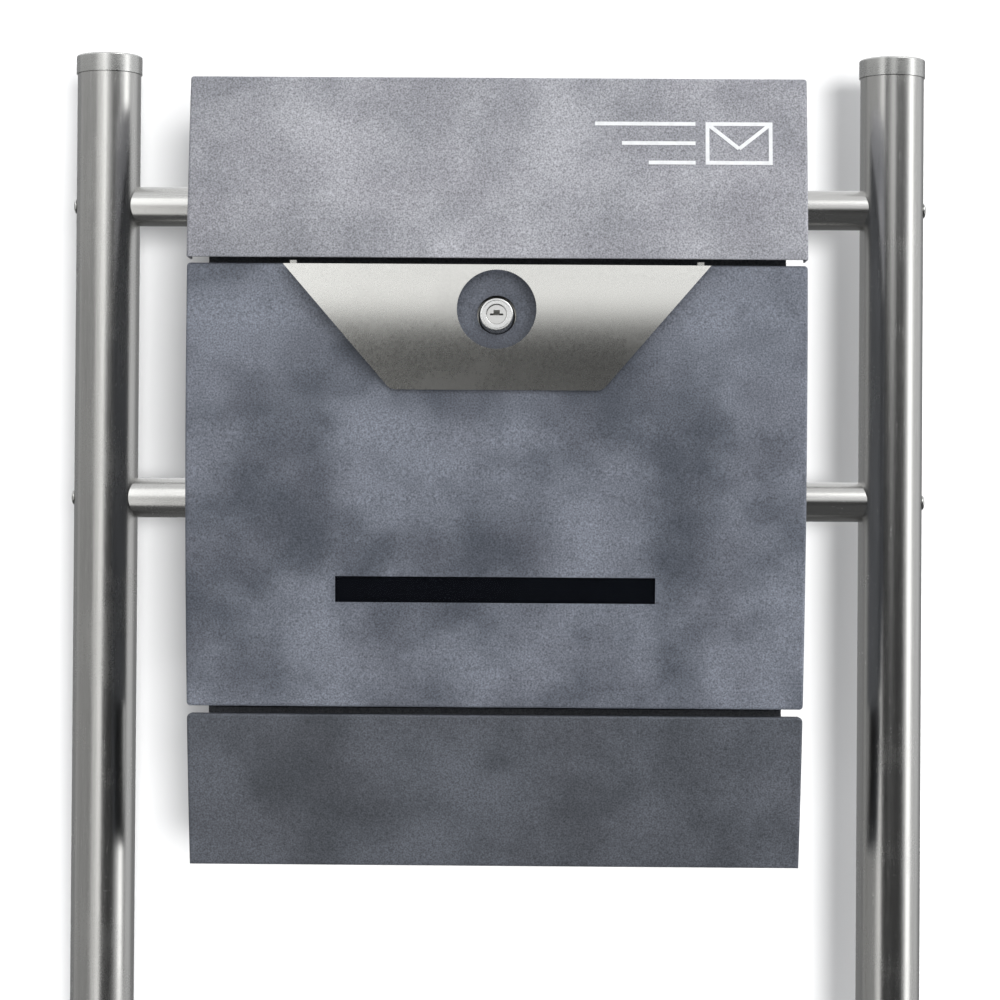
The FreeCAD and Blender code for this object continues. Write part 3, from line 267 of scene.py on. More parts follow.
@dataclass(frozen=True)
class BrushedSteel(Finish):
    """Stainless or plated steel with brushing along one axis."""

    colour: Colour = (0.58, 0.575, 0.555)
    rough: float = 0.27
    grain: Grain = Grain.NONE
    depth: float = 0.02 * MM
    fine: float = 2600.0
    smudge: float = 0.06

    def write(self, graph: Graph) -> None:
        """Write streaks in colour, roughness and relief, with faint broad smudges.

        Args:
            graph: the material's graph.
        """
        way = graph.stretched(self.grain.value)
        streak = graph.noise(self.fine, 3.0, 0.65, at=way)
        broad = graph.noise(self.fine * 0.24, 2.0, 0.6, 2.0, way)
        grit = graph.noise(1400.0, 2.0, 0.6, 4.0)
        smudge = graph.noise(22.0, 3.0, 0.55, 5.0).between(0.45, 0.75)
        lively = (streak - 0.5) * 0.5 + (broad - 0.5) * 0.3 + (grit - 0.5) * 0.35
        deep = tuple(0.72 * part for part in self.colour)
        graph.surface(
            Base_Color=graph.blend((lively + 0.62).between(0.1, 1.0), deep, self.colour),
            Metallic=1.0,
            Roughness=self.rough + lively * 0.22 + smudge * self.smudge,
            Normal=graph.bump(streak + broad * 0.6 + grit * 0.5, self.depth, 0.5),
        )


@dataclass(frozen=True)
class Plastic(Finish):
    """Moulded plastic or rubber with a fine eroded texture."""

    colour: Colour = (0.03, 0.03, 0.03)
    rough: float = 0.6

    def write(self, graph: Graph) -> None:
        """Write a slight fade and a fine texture.

        Args:
            graph: the material's graph.
        """
        fade = graph.noise(90.0, 3.0, 0.6)
        worn = tuple(1.5 * part for part in self.colour)
        graph.surface(
            Base_Color=graph.blend(fade.between(0.4, 0.8), self.colour, worn),
            Roughness=self.rough + (fade - 0.5) * 0.2,
            Normal=graph.bump(graph.noise(1800.0, 2.0, 0.5, 1.0), 0.03 * MM, 0.5),
        )


@dataclass(frozen=True)
class Printed(Finish):
    """Matt printed ink over powder coat."""

    colour: Colour = (0.86, 0.87, 0.88)

    def write(self, graph: Graph) -> None:
        """Write a slightly uneven opaque ink.

        Args:
            graph: the material's graph.
        """
        wear = graph.noise(260.0, 3.0, 0.6)
        thin = tuple(0.9 * part for part in self.colour)
        graph.surface(
            Base_Color=graph.blend(wear.between(0.35, 0.7), self.colour, thin),
            Roughness=0.5 + (wear - 0.5) * 0.15,
            Normal=graph.bump(graph.noise(1150.0, 2.0, 0.6, 1.0), 0.1 * MM, 0.4),
        )


@dataclass(frozen=True)
class ClearSheet(Finish):
    """Clear acrylic tinted near black and half see-through, painting the shade of the dark compartment behind the slot.
    """

    # near-black tint, with the half opacity below: painted shade of the compartment behind the pane
    colour: Colour = (0.006, 0.007, 0.01)

    def write(self, graph: Graph) -> None:
        """Write a thin glossy sheet with a little dust, dark and half see-through to paint the compartment's shade.

        Args:
            graph: the material's graph.
        """
        dust = graph.noise(700.0, 3.0, 0.7)
        haze = graph.noise(30.0, 2.0, 0.5, 1.0)
        dusty = tuple(part + 0.02 for part in self.colour)
        graph.surface(
            Base_Color=graph.blend(dust.between(0.62, 0.8), self.colour, dusty),
            Roughness=0.06 + haze * 0.05,
            Specular_IOR_Level=0.08,
            Alpha=0.5 + haze * 0.1,
        )


# ---- shapes
def put(name: str, data: bpy.types.ID) -> bpy.types.Object:
    """Put a new object into the scene.

    Args:
        name: its name.
        data: its mesh, lamp or camera.

    Returns:
        The object.
    """
    made = bpy.data.objects.new(name, data)
    bpy.context.scene.collection.objects.link(made)
    return made


class Shape:
    """A mesh in the making."""

    def __init__(self) -> None:
        """Start an empty mesh."""
        self.mesh = bmesh.new()

    @classmethod
    def block(cls, low: Point, high: Point) -> "Shape":
        """A block between two corners.

        Args:
            low: its lowest corner.
            high: its highest corner.

        Returns:
            The block.
        """
        shape = cls()
        low, high = Vector(low), Vector(high)
        bmesh.ops.create_cube(shape.mesh, size=1.0)
        return shape.move(Matrix.Translation((high + low) / 2) @ Matrix.Diagonal((*(high - low), 1)))

    @classmethod
    def bar(cls, start: Point, end: Point, radius: float, sides: int) -> "Shape":
        """A round or polygonal bar between two points.

        Args:
            start: centre of one end.
            end: centre of the other end.
            radius: to its corners.
            sides: number of sides.

        Returns:
            The bar.
        """
        shape = cls()
        start, end = Vector(start), Vector(end)
        along = end - start
        bmesh.ops.create_cone(
            shape.mesh, cap_ends=True, segments=sides, radius1=radius, radius2=radius, depth=along.length
        )
        turn = along.to_track_quat("Z", "Y").to_matrix().to_4x4()
        return shape.move(Matrix.Translation((start + end) / 2) @ turn)

    @classmethod
    def turned(cls, profile: Sequence[tuple[float, float]], steps: int) -> "Shape":
        """A shape turned about the z axis.

        Args:
            profile: (radius, height) points from the axis back to the axis, or a closed ring.
            steps: facets round the axis.

        Returns:
            The turned shape.
        """
        shape = cls()
        points = [shape.mesh.verts.new((radius, 0.0, height)) for radius, height in profile]
        lines = [shape.mesh.edges.new(pair) for pair in zip(points, points[1:])]
        if profile[0][0] > 0:
            lines.append(shape.mesh.edges.new((points[-1], points[0])))
        bmesh.ops.spin(
            shape.mesh, geom=points + lines, cent=(0, 0, 0), axis=(0, 0, 1), angle=math.tau,
            steps=steps, use_merge=True,
        )
        return shape.clean()

    @classmethod
    def outline(cls, points: Sequence[Point], along: Point) -> "Shape":
        """A flat outline pulled out to a solid.

        Args:
            points: corners of the outline, in order.
            along: how far and which way it is pulled.

        Returns:
            The solid.
        """
        shape = cls()
        face = shape.mesh.faces.new([shape.mesh.verts.new(point) for point in points])
        shape.pull(bmesh.ops.extrude_face_region, {"geom": [face]}, along)
        return shape.clean()

    @classmethod
    def from_node(cls, node: str) -> "Shape":
        """A merged copy of a node's mesh with its flat faces made whole.

        Args:
            node: the node's name.

        Returns:
            The copy.
        """
        shape = cls()
        shape.mesh.from_mesh(bpy.data.objects[node].data)
        bmesh.ops.remove_doubles(shape.mesh, verts=shape.mesh.verts, dist=2 * NEAR)
        flat = math.radians(0.4)
        bmesh.ops.dissolve_limit(shape.mesh, angle_limit=flat, verts=shape.mesh.verts, edges=shape.mesh.edges)
        return shape

    def pull(self, extrude: Callable, source: dict, along: Point) -> list:
        """Pull faces or edges out by a vector.

        Args:
            extrude: the bmesh operator.
            source: what it extrudes.
            along: how far and which way.

        Returns:
            The new vertices, edges and faces.
        """
        pulled = extrude(self.mesh, **source)["geom"]
        moved = [part for part in pulled if isinstance(part, bmesh.types.BMVert)]
        bmesh.ops.translate(self.mesh, vec=along, verts=moved)
        return pulled

    def clean(self) -> "Shape":
        """Merge doubles and turn the faces outwards.

        Returns:
            This shape.
        """
        bmesh.ops.remove_doubles(self.mesh, verts=self.mesh.verts, dist=NEAR)
        bmesh.ops.recalc_face_normals(self.mesh, faces=self.mesh.faces)
        return self

    def move(self, matrix: Matrix) -> "Shape":
        """Move or turn the shape."""
        self.mesh.transform(matrix)
        return self

    def join(self, *others: "Shape") -> "Shape":
        """Take other shapes into this one as loose parts, and use them up.

        Args:
            others: the other shapes.

        Returns:
            This shape.
        """
        for other in others:
            mesh = other.to_mesh("part")
            self.mesh.from_mesh(mesh)
            bpy.data.meshes.remove(mesh)
        return self

    def bevel(self, where: Test, width: float, segments: int) -> "Shape":
        """Round the edges that pass a test.

        Args:
            where: a test on the two ends of an edge.
            width: radius of the rounding.
            segments: facets across it.

        Returns:
            This shape.
        """
        chosen = [edge for edge in self.mesh.edges if where(edge.verts[0].co, edge.verts[1].co)]
        bmesh.ops.bevel(
            self.mesh, geom=chosen, offset=width, offset_type="OFFSET", segments=segments, profile=0.5,
            affect="EDGES", material=-1, clamp_overlap=True,
        )
        return self

    def open(self, where: Test) -> "Shape":
        """Remove the faces that pass a test.

        Args:
            where: a test on a face's centre and normal.

        Returns:
            This shape.
        """
        chosen = [face for face in self.mesh.faces if where(face.calc_center_median(), face.normal)]
        bmesh.ops.delete(self.mesh, geom=chosen, context="FACES")
        return self

    def slices(self, levels: Iterable[float]) -> "Shape":
        """Cut the faces at some heights, and keep both sides.

        Args:
            levels: the heights.

        Returns:
            This shape.
        """
        for level in levels:
            everything = self.mesh.verts[:] + self.mesh.edges[:] + self.mesh.faces[:]
            bmesh.ops.bisect_plane(
                self.mesh, geom=everything, dist=NEAR / 2, plane_co=(0, 0, level), plane_no=(0, 0, 1)
            )
        return self

    def shift_each(self, shift: Callable[[Vector], Vector]) -> "Shape":
        """Move every vertex.

        Args:
            shift: how far, by its place.

        Returns:
            This shape.
        """
        for vertex in self.mesh.verts:
            vertex.co += shift(vertex.co)
        return self

    def lay_on(self, bow: "Bow") -> "Shape":
        """Move every vertex back onto a bow."""
        return self.shift_each(lambda place: Vector((0, bow.y(place.z), 0)))

    def through(self, kind: str, **settings: object) -> "Shape":
        """Run the shape through a modifier.

        Args:
            kind: the modifier's type.
            settings: its properties.

        Returns:
            This shape.
        """
        holder = put("holder", self.to_mesh("holder"))
        modifier = holder.modifiers.new(kind.lower(), kind)
        for name, value in settings.items():
            setattr(modifier, name, value)
        graph = bpy.context.evaluated_depsgraph_get()
        result = bpy.data.meshes.new_from_object(holder.evaluated_get(graph), depsgraph=graph)
        self.mesh = bmesh.new()
        self.mesh.from_mesh(result)
        for mesh in (holder.data, result):
            bpy.data.meshes.remove(mesh)
        return self

    def walls(self, thickness: float) -> "Shape":
        """Give an open shell its wall, inwards."""
        return self.through("SOLIDIFY", thickness=thickness, offset=-1.0, use_even_offset=True)

    def cut(self, other: "Shape") -> "Shape":
        """Cut another closed shape out of this one, and use it up.

        Args:
            other: the other shape.

        Returns:
            This shape.
        """
        tool = put("tool", other.to_mesh("tool"))
        self.through("BOOLEAN", operation="DIFFERENCE", object=tool, solver="EXACT")
        bpy.data.meshes.remove(tool.data)
        return self

    def drill(self, centre: Point, axis: int, reach: float, radius: float, sides: int) -> "Shape":
        """Cut a round hole along an axis, to a reach either side of its centre."""
        along = Vector([reach if index == axis else 0.0 for index in range(3)])
        return self.cut(Shape.bar(Vector(centre) - along, Vector(centre) + along, radius, sides))

    def to_mesh(self, name: str) -> bpy.types.Mesh:
        """The finished mesh; the shape itself is used up.

        Args:
            name: the mesh's name.

        Returns:
            The mesh.
        """
        mesh = bpy.data.meshes.new(name)
        self.mesh.to_mesh(mesh)
        self.mesh.free()
        return mesh


@dataclass(frozen=True)
class Piece:
    """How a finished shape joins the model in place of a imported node."""

    name: str
    finish: Finish
    body: str
    slot: str
    node: str
    edge: float = 0.0
    segments: int = 2
    smooth: float = 32.0

    def place(self, shape: Shape) -> None:
        """Make the object, finish its edges and shading, and hang it on its body.

        Args:
            shape: the shape, used up here.
        """
        mesh = shape.to_mesh(self.name)
        mesh.shade_smooth()
        mesh.set_sharp_from_angle(angle=math.radians(self.smooth))
        mesh.materials.clear()
        mesh.materials.append(self.finish.material())
        made = put(self.name, mesh)
        if self.edge:
            bevel = made.modifiers.new("edges", "BEVEL")
            bevel.width = self.edge
            bevel.segments = self.segments
            bevel.limit_method = "ANGLE"
            bevel.angle_limit = math.radians(self.smooth)
            bevel.miter_outer = "MITER_ARC"
        made.modifiers.new("shading", "WEIGHTED_NORMAL").keep_sharp = True
        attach(made, self.body)
        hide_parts(self.node)
        LOG.info("%s: %d faces, rides on %s", self.name, len(mesh.polygons), self.body)


@dataclass(frozen=True)
class Bow:
    """A face bowed about an axis along X, foremost at one height."""

    crown_y: float
    crown_z: float
    radius: float

    def y(self, z: float) -> float:
        """Place of the face at a height."""
        return self.crown_y + self.radius - math.sqrt(self.radius**2 - (z - self.crown_z) ** 2)

    @classmethod
    def through(cls, low: tuple[float, float], high: tuple[float, float], radius: float) -> "Bow":
        """The bow of a radius that bulges to the front between two points.

        Args:
            low: (y, z) of the lower point.
            high: (y, z) of the upper point.
            radius: its radius.

        Returns:
            The bow.
        """
        dy, dz = high[0] - low[0], high[1] - low[1]
        half = math.hypot(dy, dz) / 2
        back = math.sqrt(radius**2 - half**2)
        centre_y = (low[0] + high[0]) / 2 + back * dz / (2 * half)
        centre_z = (low[1] + high[1]) / 2 - back * dy / (2 * half)
        return cls(centre_y - radius, centre_z, radius)


def extent(node: str) -> tuple[Vector, Vector, Vector]:
    """The lowest corner, the highest corner and the middle of a node."""
    low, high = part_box(node)
    return low, high, (low + high) / 2


def mirrored(side: int, near: float, far: float) -> tuple[float, float]:
    """The x limits, in order, of a stretch on one side."""
    return min(side * near, side * far), max(side * near, side * far)


def dome(radius: float, rise: float, base: float, steps: int) -> list[tuple[float, float]]:
    """A rounded head's (radius, height) points, from its top to its rim."""
    turns = [QUARTER * step / steps for step in range(steps + 1)]
    return [(radius * math.sin(turn), base + rise * math.cos(turn)) for turn in turns]


def levels(low: float, high: float, pitch: float) -> list[float]:
    """Evenly spaced heights inside a stretch, at most a pitch apart."""
    count = max(2, math.ceil((high - low) / pitch))
    return [low + (high - low) * index / count for index in range(1, count)]


def runs_along(axis: int, reach: float = 1 * MM) -> Test:
    """A test for edges that run along an axis for at least some length."""
    return lambda a, b: abs(a[axis] - b[axis]) > reach and (a - b).length - abs(a[axis] - b[axis]) < NEAR / 10


def dress(node: str, finish: Finish) -> None:
    """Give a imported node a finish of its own.

    Args:
        node: the node's name.
        finish: its finish.
    """
    materials = bpy.data.objects[node].data.materials
    materials.clear()
    materials.append(finish.material())
    LOG.info("%s: kept, finish %s", node, finish.name)


# ---- the stand
@dataclass
class Stand:
    """Two posts with caps and foot plates, and the cross tubes that carry the box."""

    wall: float = 1.5 * MM
    ease: float = 0.15 * MM
    cap_round: float = 1.1 * MM
    cap_dome: float = 0.35 * MM
    cap_seam: float = 0.3 * MM
    spigot_inset: float = 2.45 * MM
    plate_corner: float = 10 * MM
    plate_edge: float = 0.8 * MM
    hole_r: float = 4.5 * MM
    holes_x: float = 70 * MM
    holes_y: float = 120 * MM
    weld_leg: float = 4 * MM
    weld_ripples: int = 44
    weld_slant: float = 900.0
    weld_relief: float = 0.22 * MM
    weld_belly: tuple[float, float] = (0.62, 0.3)
    insert_r: float = 4.5 * MM
    screw_r: float = 3 * MM
    screw_length: float = 38 * MM
    screw_head: tuple[float, float, float] = (4.6 * MM, 1.7 * MM, 2.3 * MM)
    bolt_head: tuple[float, float, float] = (5.6 * MM, 3.4 * MM, 2.9 * MM)
    post_steel: Finish = BrushedSteel("post_steel", rough=0.24, grain=Grain.ALONG_Z)
    tube_steel: Finish = BrushedSteel("tube_steel", rough=0.24, grain=Grain.ALONG_X)
    cap_steel: Finish = BrushedSteel("cap_steel", (0.6, 0.6, 0.58), 0.26)
    plate_steel: Finish = BrushedSteel("plate_steel", (0.5, 0.5, 0.49), 0.36, Grain.ALONG_X)
    weld_steel: Finish = BrushedSteel("weld_steel", (0.42, 0.4, 0.37), 0.38, smudge=0.2)
    screw_steel: Finish = BrushedSteel("screw_steel", (0.62, 0.62, 0.6), 0.22)

    def tube_heights(self) -> list[float]:
        """Heights of the cross tubes' axes."""
        return [extent("cross_tube_" + name)[2].z for name in ("upper", "lower")]

    def bolt_columns(self) -> tuple[float, float]:
        """The x of the two columns of bolts."""
        low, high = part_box("box_bolts")
        return low.x + self.bolt_head[0], high.x - self.bolt_head[0]

    def leg(self, side: str) -> None:
        """Build one post tube with its turned cap and its foot plate.

        Args:
            side: left or right.
        """
        low, high, middle = extent("post_" + side)
        seat, radius = high.z, (high.x - low.x) / 2
        inner, upright = radius - self.wall, Matrix.Translation((middle.x, middle.y, 0))
        tube = Shape.turned([(radius, low.z), (radius, seat), (inner, seat), (inner, low.z)], 128).move(upright)
        screw_y = extent("cross_tube_screws")[2].y
        for z in self.tube_heights():
            tube.drill((middle.x, screw_y, z), 0, radius + PAST, self.screw_r, 32)
        Piece("post_tube_" + side, self.post_steel, "housing", "stand_steel", "post_" + side, self.ease).place(tube)

        low, high, middle = extent("post_cap_" + side)
        radius, rim = (high.x - low.x) / 2, high.z - self.cap_dome
        spigot = radius - self.spigot_inset
        cap = Shape.turned([(0, high.z), (radius * 0.55, high.z - self.cap_dome * 0.3), (radius, rim),
                            (radius, seat), (spigot, seat), (spigot, low.z), (0, low.z)], 128)
        for height, width, segments in ((rim, self.cap_round, 5), (seat, self.cap_seam, 2)):
            cap.bevel(
                lambda a, b: all(abs(p.z - height) < NEAR and abs(p.xy.length - radius) < NEAR for p in (a, b)),
                width, segments,
            )
        cap.move(Matrix.Translation((middle.x, middle.y, 0)))
        Piece("cap_" + side, self.cap_steel, "housing", "cap_steel", "post_cap_" + side).place(cap)

        low, high, middle = extent("foot_plate_" + side)
        plate = Shape.block(low, high).bevel(runs_along(2), self.plate_corner, 10)
        for dx in (-self.holes_x / 2, self.holes_x / 2):
            for dy in (-self.holes_y / 2, self.holes_y / 2):
                plate.drill(middle + Vector((dx, dy, 0)), 2, high.z - low.z + PAST, self.hole_r, 48)
        Piece("foot_" + side, self.plate_steel, "housing", "foot_steel", "foot_plate_" + side,
              self.plate_edge, 3).place(plate)

    def welds(self) -> None:
        """Build the rippled weld beads round both posts."""
        beads, leg, sunk = Shape(), self.weld_leg, 0.1 * MM
        far, near = (share * leg for share in self.weld_belly)
        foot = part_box("foot_welds")[0].z
        for side in ("left", "right"):
            low, high, middle = extent("post_" + side)
            radius = (high.x - low.x) / 2
            profile = [(radius - sunk, foot), (radius + leg, foot), (radius + far, foot + near),
                       (radius + near, foot + far), (radius - sunk, foot + leg)]

            def ripple(place: Vector) -> Vector:
                """How far a point of the bead moves to scallop its face.

                Args:
                    place: the point.

                Returns:
                    The shift.
                """
                away = place.xy.length - radius
                if min(away, place.z - foot) < 2 * sunk or away > 0.95 * leg:
                    return Vector()
                turn = self.weld_ripples * math.atan2(place.y, place.x) + self.weld_slant * place.z
                return Vector((place.x, place.y, 0)).normalized() * self.weld_relief * (math.cos(turn) - 0.6)

            bead = Shape.turned(profile, self.weld_ripples * 6).shift_each(ripple)
            beads.join(bead.move(Matrix.Translation((middle.x, middle.y, 0))))
        Piece("weld_beads", self.weld_steel, "housing", "foot_steel", "foot_welds", smooth=80).place(beads)

    def cross_tubes(self) -> None:
        """Build both cross tubes, coped to the posts."""
        for name in ("upper", "lower"):
            low, high, middle = extent("cross_tube_" + name)
            radius, y, z = (high.z - low.z) / 2, middle.y, middle.z
            tube = Shape.bar((low.x, y, z), (high.x, y, z), radius, 96)
            tube.drill(middle, 0, (high.x - low.x) / 2 + PAST, radius - self.wall, 96)
            for side in ("left", "right"):
                post_low, post_high, post = extent("post_" + side)
                tube.drill((post.x, post.y, z), 2, 5 * PAST, (post_high.x - post_low.x) / 2, 128)
            reach = (y - low.y + PAST) / 2
            for x in self.bolt_columns():
                tube.drill((x, y - reach, z), 1, reach, self.insert_r, 32)
            Piece("tube_" + name, self.tube_steel, "housing", "stand_steel", "cross_tube_" + name,
                  self.ease).place(tube)

    def button(self, head: tuple[float, float, float], length: float) -> Shape:
        """A button-head screw along z, its seat at 0 and its head above.

        Args:
            head: the head's radius and height, and its hexagonal socket's corner radius.
            length: length of the shank.

        Returns:
            The screw.
        """
        (head_r, head_t, socket), shank, tip = head, self.screw_r, 0.4 * MM
        profile = dome(head_r, 0.82 * head_t, 0.18 * head_t, 8)
        profile += [(head_r, 0.0), (shank, 0.0), (shank, -length + tip), (shank - tip, -length), (0, -length)]
        return Shape.turned(profile, 48).cut(Shape.bar((0, 0, 0.25 * head_t), (0, 0, 2 * head_t), socket, 6))

    def screws(self) -> None:
        """Build the end screws of the cross tubes, and the bolts that hold the box."""
        line = extent("cross_tube_screws")[2].y
        front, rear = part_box("box_washers")[0].y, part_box("box_bolts")[1].y
        ends = [((face, line), Matrix.Rotation(side * QUARTER, 4, "Y"))
                for side, face in ((-1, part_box("post_left")[0].x), (1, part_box("post_right")[1].x))]
        columns = [((x, front), Matrix.Rotation(QUARTER, 4, "X")) for x in self.bolt_columns()]
        for name, node, head, length, rows in (
            ("end_screws", "cross_tube_screws", self.screw_head, self.screw_length, ends),
            ("mounting_bolts", "box_bolts", self.bolt_head, rear - front, columns),
        ):
            group = Shape()
            for place, turn in rows:
                for z in self.tube_heights():
                    group.join(self.button(head, length).move(Matrix.Translation((*place, z)) @ turn))
            Piece(name, self.screw_steel, "housing", "fastener_steel", node, smooth=40).place(group)

    def build(self) -> None:
        """Build every piece of the stand."""
        for side in ("left", "right"):
            self.leg(side)
        self.welds()
        self.cross_tubes()
        self.screws()
        dress("cross_tube_plugs", Plastic("plug_plastic"))
        dress("rivet_nuts", BrushedSteel("insert_steel", (0.6, 0.58, 0.5), 0.3))


# ---- bowed skins
@dataclass
class Skin:
    """Sizes that the bowed sheet pieces share."""

    wall: float = 1.2 * MM
    back: float = 10 * MM
    bend: float = 1.8 * MM
    radius: float = 1050 * MM
    crown_height: float = 298 * MM
    strip: float = 6 * MM
    ease: float = 0.2 * MM

    def bow(self) -> Bow:
        """The bow of the door and the tray."""
        crown_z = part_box("newspaper_tray")[0].z + self.crown_height
        return Bow(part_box("door_skin")[0].y, crown_z, self.radius)

    def pan(self, low: Vector, high: Vector, corner: float, corners_above: float) -> Shape:
        """An open shell with its front at y = 0 and its edges turned back.

        Args:
            low: lowest corner of its box.
            high: highest corner of its box.
            corner: radius of its outline's corners.
            corners_above: height above which they are rounded.

        Returns:
            The shell.
        """
        shell = Shape.block((low.x, 0, low.z), (high.x, self.back, high.z))
        shell.bevel(lambda a, b: runs_along(1)(a, b) and a.z > corners_above, corner, 5)
        shell.bevel(lambda a, b: a.y < NEAR and b.y < NEAR, self.bend, 5)
        return shell.open(lambda centre, normal: normal.y > 0.9)


@dataclass
class Tray(Skin):
    """Newspaper tray: a bowed front with a floor and a rear flange."""

    corner: float = 3 * MM
    flange: float = 26 * MM
    front_depth: float = 12 * MM
    rivet_r: float = 3.2 * MM
    rivet_t: float = 1.1 * MM
    shank_r: float = 1.6 * MM
    set_head: tuple[float, float] = (2.6 * MM, 2.2 * MM)
    count: int = 4
    steel: Finish = BrushedSteel("rivet_steel", (0.62, 0.62, 0.6), 0.3)
    # darker copy of the door's coat: its extra darkness is painted shade on the downward-facing tray
    paint: Finish = PowderCoat("tray_paint", (0.05, 0.056, 0.067), (0.1, 0.109, 0.129), (0.079, 0.083, 0.098), 21.0)

    def shell(self) -> None:
        """Build the tray from one sheet."""
        low, high, middle = extent("newspaper_tray")
        bow = self.bow()
        front = self.pan(low, high, self.corner, middle.z)
        rear = high.y - bow.y(low.z)
        heel = [edge for edge in front.mesh.edges
                if all(abs(v.co.y - self.back) < NEAR and v.co.z < low.z + NEAR for v in edge.verts)]
        for step in ((0, rear - self.back, 0), (0, 0, self.flange)):
            pulled = front.pull(bmesh.ops.extrude_edge_only, {"edges": heel}, step)
            heel = [part for part in pulled
                    if isinstance(part, bmesh.types.BMEdge) and all(v in pulled for v in part.verts)]
        faces = front.mesh.faces
        bmesh.ops.recalc_face_normals(front.mesh, faces=faces)
        if sum(face.calc_area() * face.normal.y for face in faces if face.calc_center_median().y < NEAR) > 0:
            bmesh.ops.reverse_faces(front.mesh, faces=faces)
        front.walls(self.wall).slices(levels(low.z, high.z, self.strip))

        def lay(place: Vector) -> Vector:
            """The shift that bows the front and keeps the floor's rear in place."""
            share = max(0.0, 1.0 - max(0.0, place.y - self.front_depth) / (rear - self.front_depth))
            return Vector((0, share * bow.y(place.z) + (1 - share) * (high.y - rear), 0))

        Piece("tray_shell", self.paint, "housing", "tray_paint", "newspaper_tray",
              self.ease).place(front.shift_each(lay))

    def build(self) -> None:
        """Build the tray and the domed rivets at its rear."""
        self.shell()
        low, high, middle = extent("tray_rivets")
        grip = high.y - low.y - 2 * self.rivet_t
        outer, inner = self.set_head
        profile = dome(self.rivet_r, self.rivet_t, grip, 6)
        profile += [(self.shank_r, grip), (self.shank_r, 0), (outer, 0), (inner, -self.rivet_t), (0, -self.rivet_t)]
        group = Shape()
        for index in range(self.count):
            x = low.x + self.rivet_r + (high.x - low.x - 2 * self.rivet_r) * index / (self.count - 1)
            seat = Matrix.Translation((x, low.y + self.rivet_t, middle.z)) @ Matrix.Rotation(-QUARTER, 4, "X")
            group.join(Shape.turned(profile, 32).move(seat))
        Piece("tray_rivet_heads", self.steel, "housing", "fastener_steel", "tray_rivets", smooth=40).place(group)


@dataclass
class Housing:
    """Folded panels of the inner box."""

    edge: float = 0.18 * MM
    paint: Finish = PowderCoat("body_paint", (0.055, 0.06, 0.07), (0.1, 0.105, 0.12), (0.08, 0.085, 0.09), 40.0, 0.6)
    panels: tuple[str, ...] = (
        "back_panel", "side_panel_left", "side_panel_right", "roof_panel", "floor_panel", "slot_frame", "mail_baffle",
    )

    def build(self) -> None:
        """Build the panels with eased edges, and dress what stays."""
        for node in self.panels:
            Piece(node + "_sheet", self.paint, "housing", "body_paint", node, self.edge).place(Shape.from_node(node))
        dress("lid_bumpers", Plastic("bumper_rubber", (0.025, 0.025, 0.025), 0.75))
        dress("box_washers", BrushedSteel("washer_steel", (0.62, 0.62, 0.6), 0.25))


# ---- the lid
@dataclass
class Lid(Skin):
    """Hinged hood over the mail slot."""

    lean: float = 9.0
    hem: float = 9 * MM
    hem_inset: float = 3 * MM
    cheek_foot: float = 22 * MM
    cheek_heel: float = 22 * MM
    axis_hole: float = 2.5 * MM
    bowed_share: float = 0.6
    # lighter and slightly more lilac than the door's coat; its extra lightness is painted light falling on the
    # upward-leaning lid
    paint: Finish = PowderCoat("lid_paint", (0.222, 0.227, 0.25), (0.408, 0.411, 0.44), (0.305, 0.299, 0.33), 4.0, 0.8)

    def hood(self) -> None:
        """Build the hood from one folded sheet with a hem."""
        low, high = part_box("lid_cover")
        rear, rise = high.y, high.z - low.z
        face = Bow.through((low.y, low.z), (low.y + rise * math.tan(math.radians(self.lean)), high.z), self.radius)
        top_y = face.y(high.z)
        points = [(low.x, rear, high.z), (low.x, top_y, high.z), (low.x, low.y, low.z),
                  (low.x, low.y + self.cheek_foot, low.z), (low.x, rear, high.z - self.cheek_heel)]
        hood = Shape.outline(points, (high.x - low.x, 0, 0))

        def straight(z: float) -> float:
            """Place of the unbowed front at a height."""
            return low.y + (z - low.z) / rise * (top_y - low.y)

        def folds(a: Vector, b: Vector) -> bool:
            """Whether an edge is a fold of the hood: the front's top or side, or the top's side.

            Args:
                a: one end.
                b: the other end.

            Returns:
                The answer.
            """
            tops = min(a.z, b.z) > high.z - NEAR
            across = abs(a.x - b.x) > 2 * self.cheek_foot
            if all(abs(p.y - straight(p.z)) < NEAR for p in (a, b)):
                return tops or not across
            return tops and not across

        hood.bevel(folds, self.bend, 5)
        hood.open(lambda centre, normal: normal.y > 0.9 or normal.z < -0.5)
        hood.walls(self.wall).slices([low.z + self.hem])
        inner = [f for f in hood.mesh.faces
                 if f.normal.y > 0.9 and f.calc_center_median().z < low.z + self.hem
                 and abs(f.calc_center_median().x) < high.x - self.hem_inset]
        hood.pull(bmesh.ops.extrude_face_region, {"geom": inner}, (0, self.wall * 0.9, 0))
        bmesh.ops.delete(hood.mesh, geom=[f for f in inner if f.is_valid], context="FACES_ONLY")
        hood.clean().slices(levels(low.z, high.z, self.strip))

        def lay(place: Vector) -> Vector:
            """Bow the front and leave the rear where it is.

            Args:
                place: a point.

            Returns:
                Its shift.
            """
            z = min(max(place.z, low.z), high.z)
            share = max(0.0, min(1.0, (rear - place.y) / (self.bowed_share * (rear - low.y))))
            return Vector((0, share * (face.y(z) - straight(z)), 0))

        hood.shift_each(lay)
        hood.drill(extent("lid_hinge_rod")[2], 0, high.x + PAST, self.axis_hole, 48)
        Piece("lid_hood", self.paint, "lid", "lid_paint", "lid_cover", self.ease).place(hood)

    def build(self) -> None:
        """Build the hood and dress what rides on it."""
        self.hood()
        dress("lid_sign", Printed("sign_ink"))
        dress("lid_hinge_rod", BrushedSteel("rod_steel", (0.6, 0.6, 0.58), 0.25, Grain.ALONG_X))
        dress("lid_rod_clips", BrushedSteel("clip_steel", (0.3, 0.29, 0.28), 0.35))


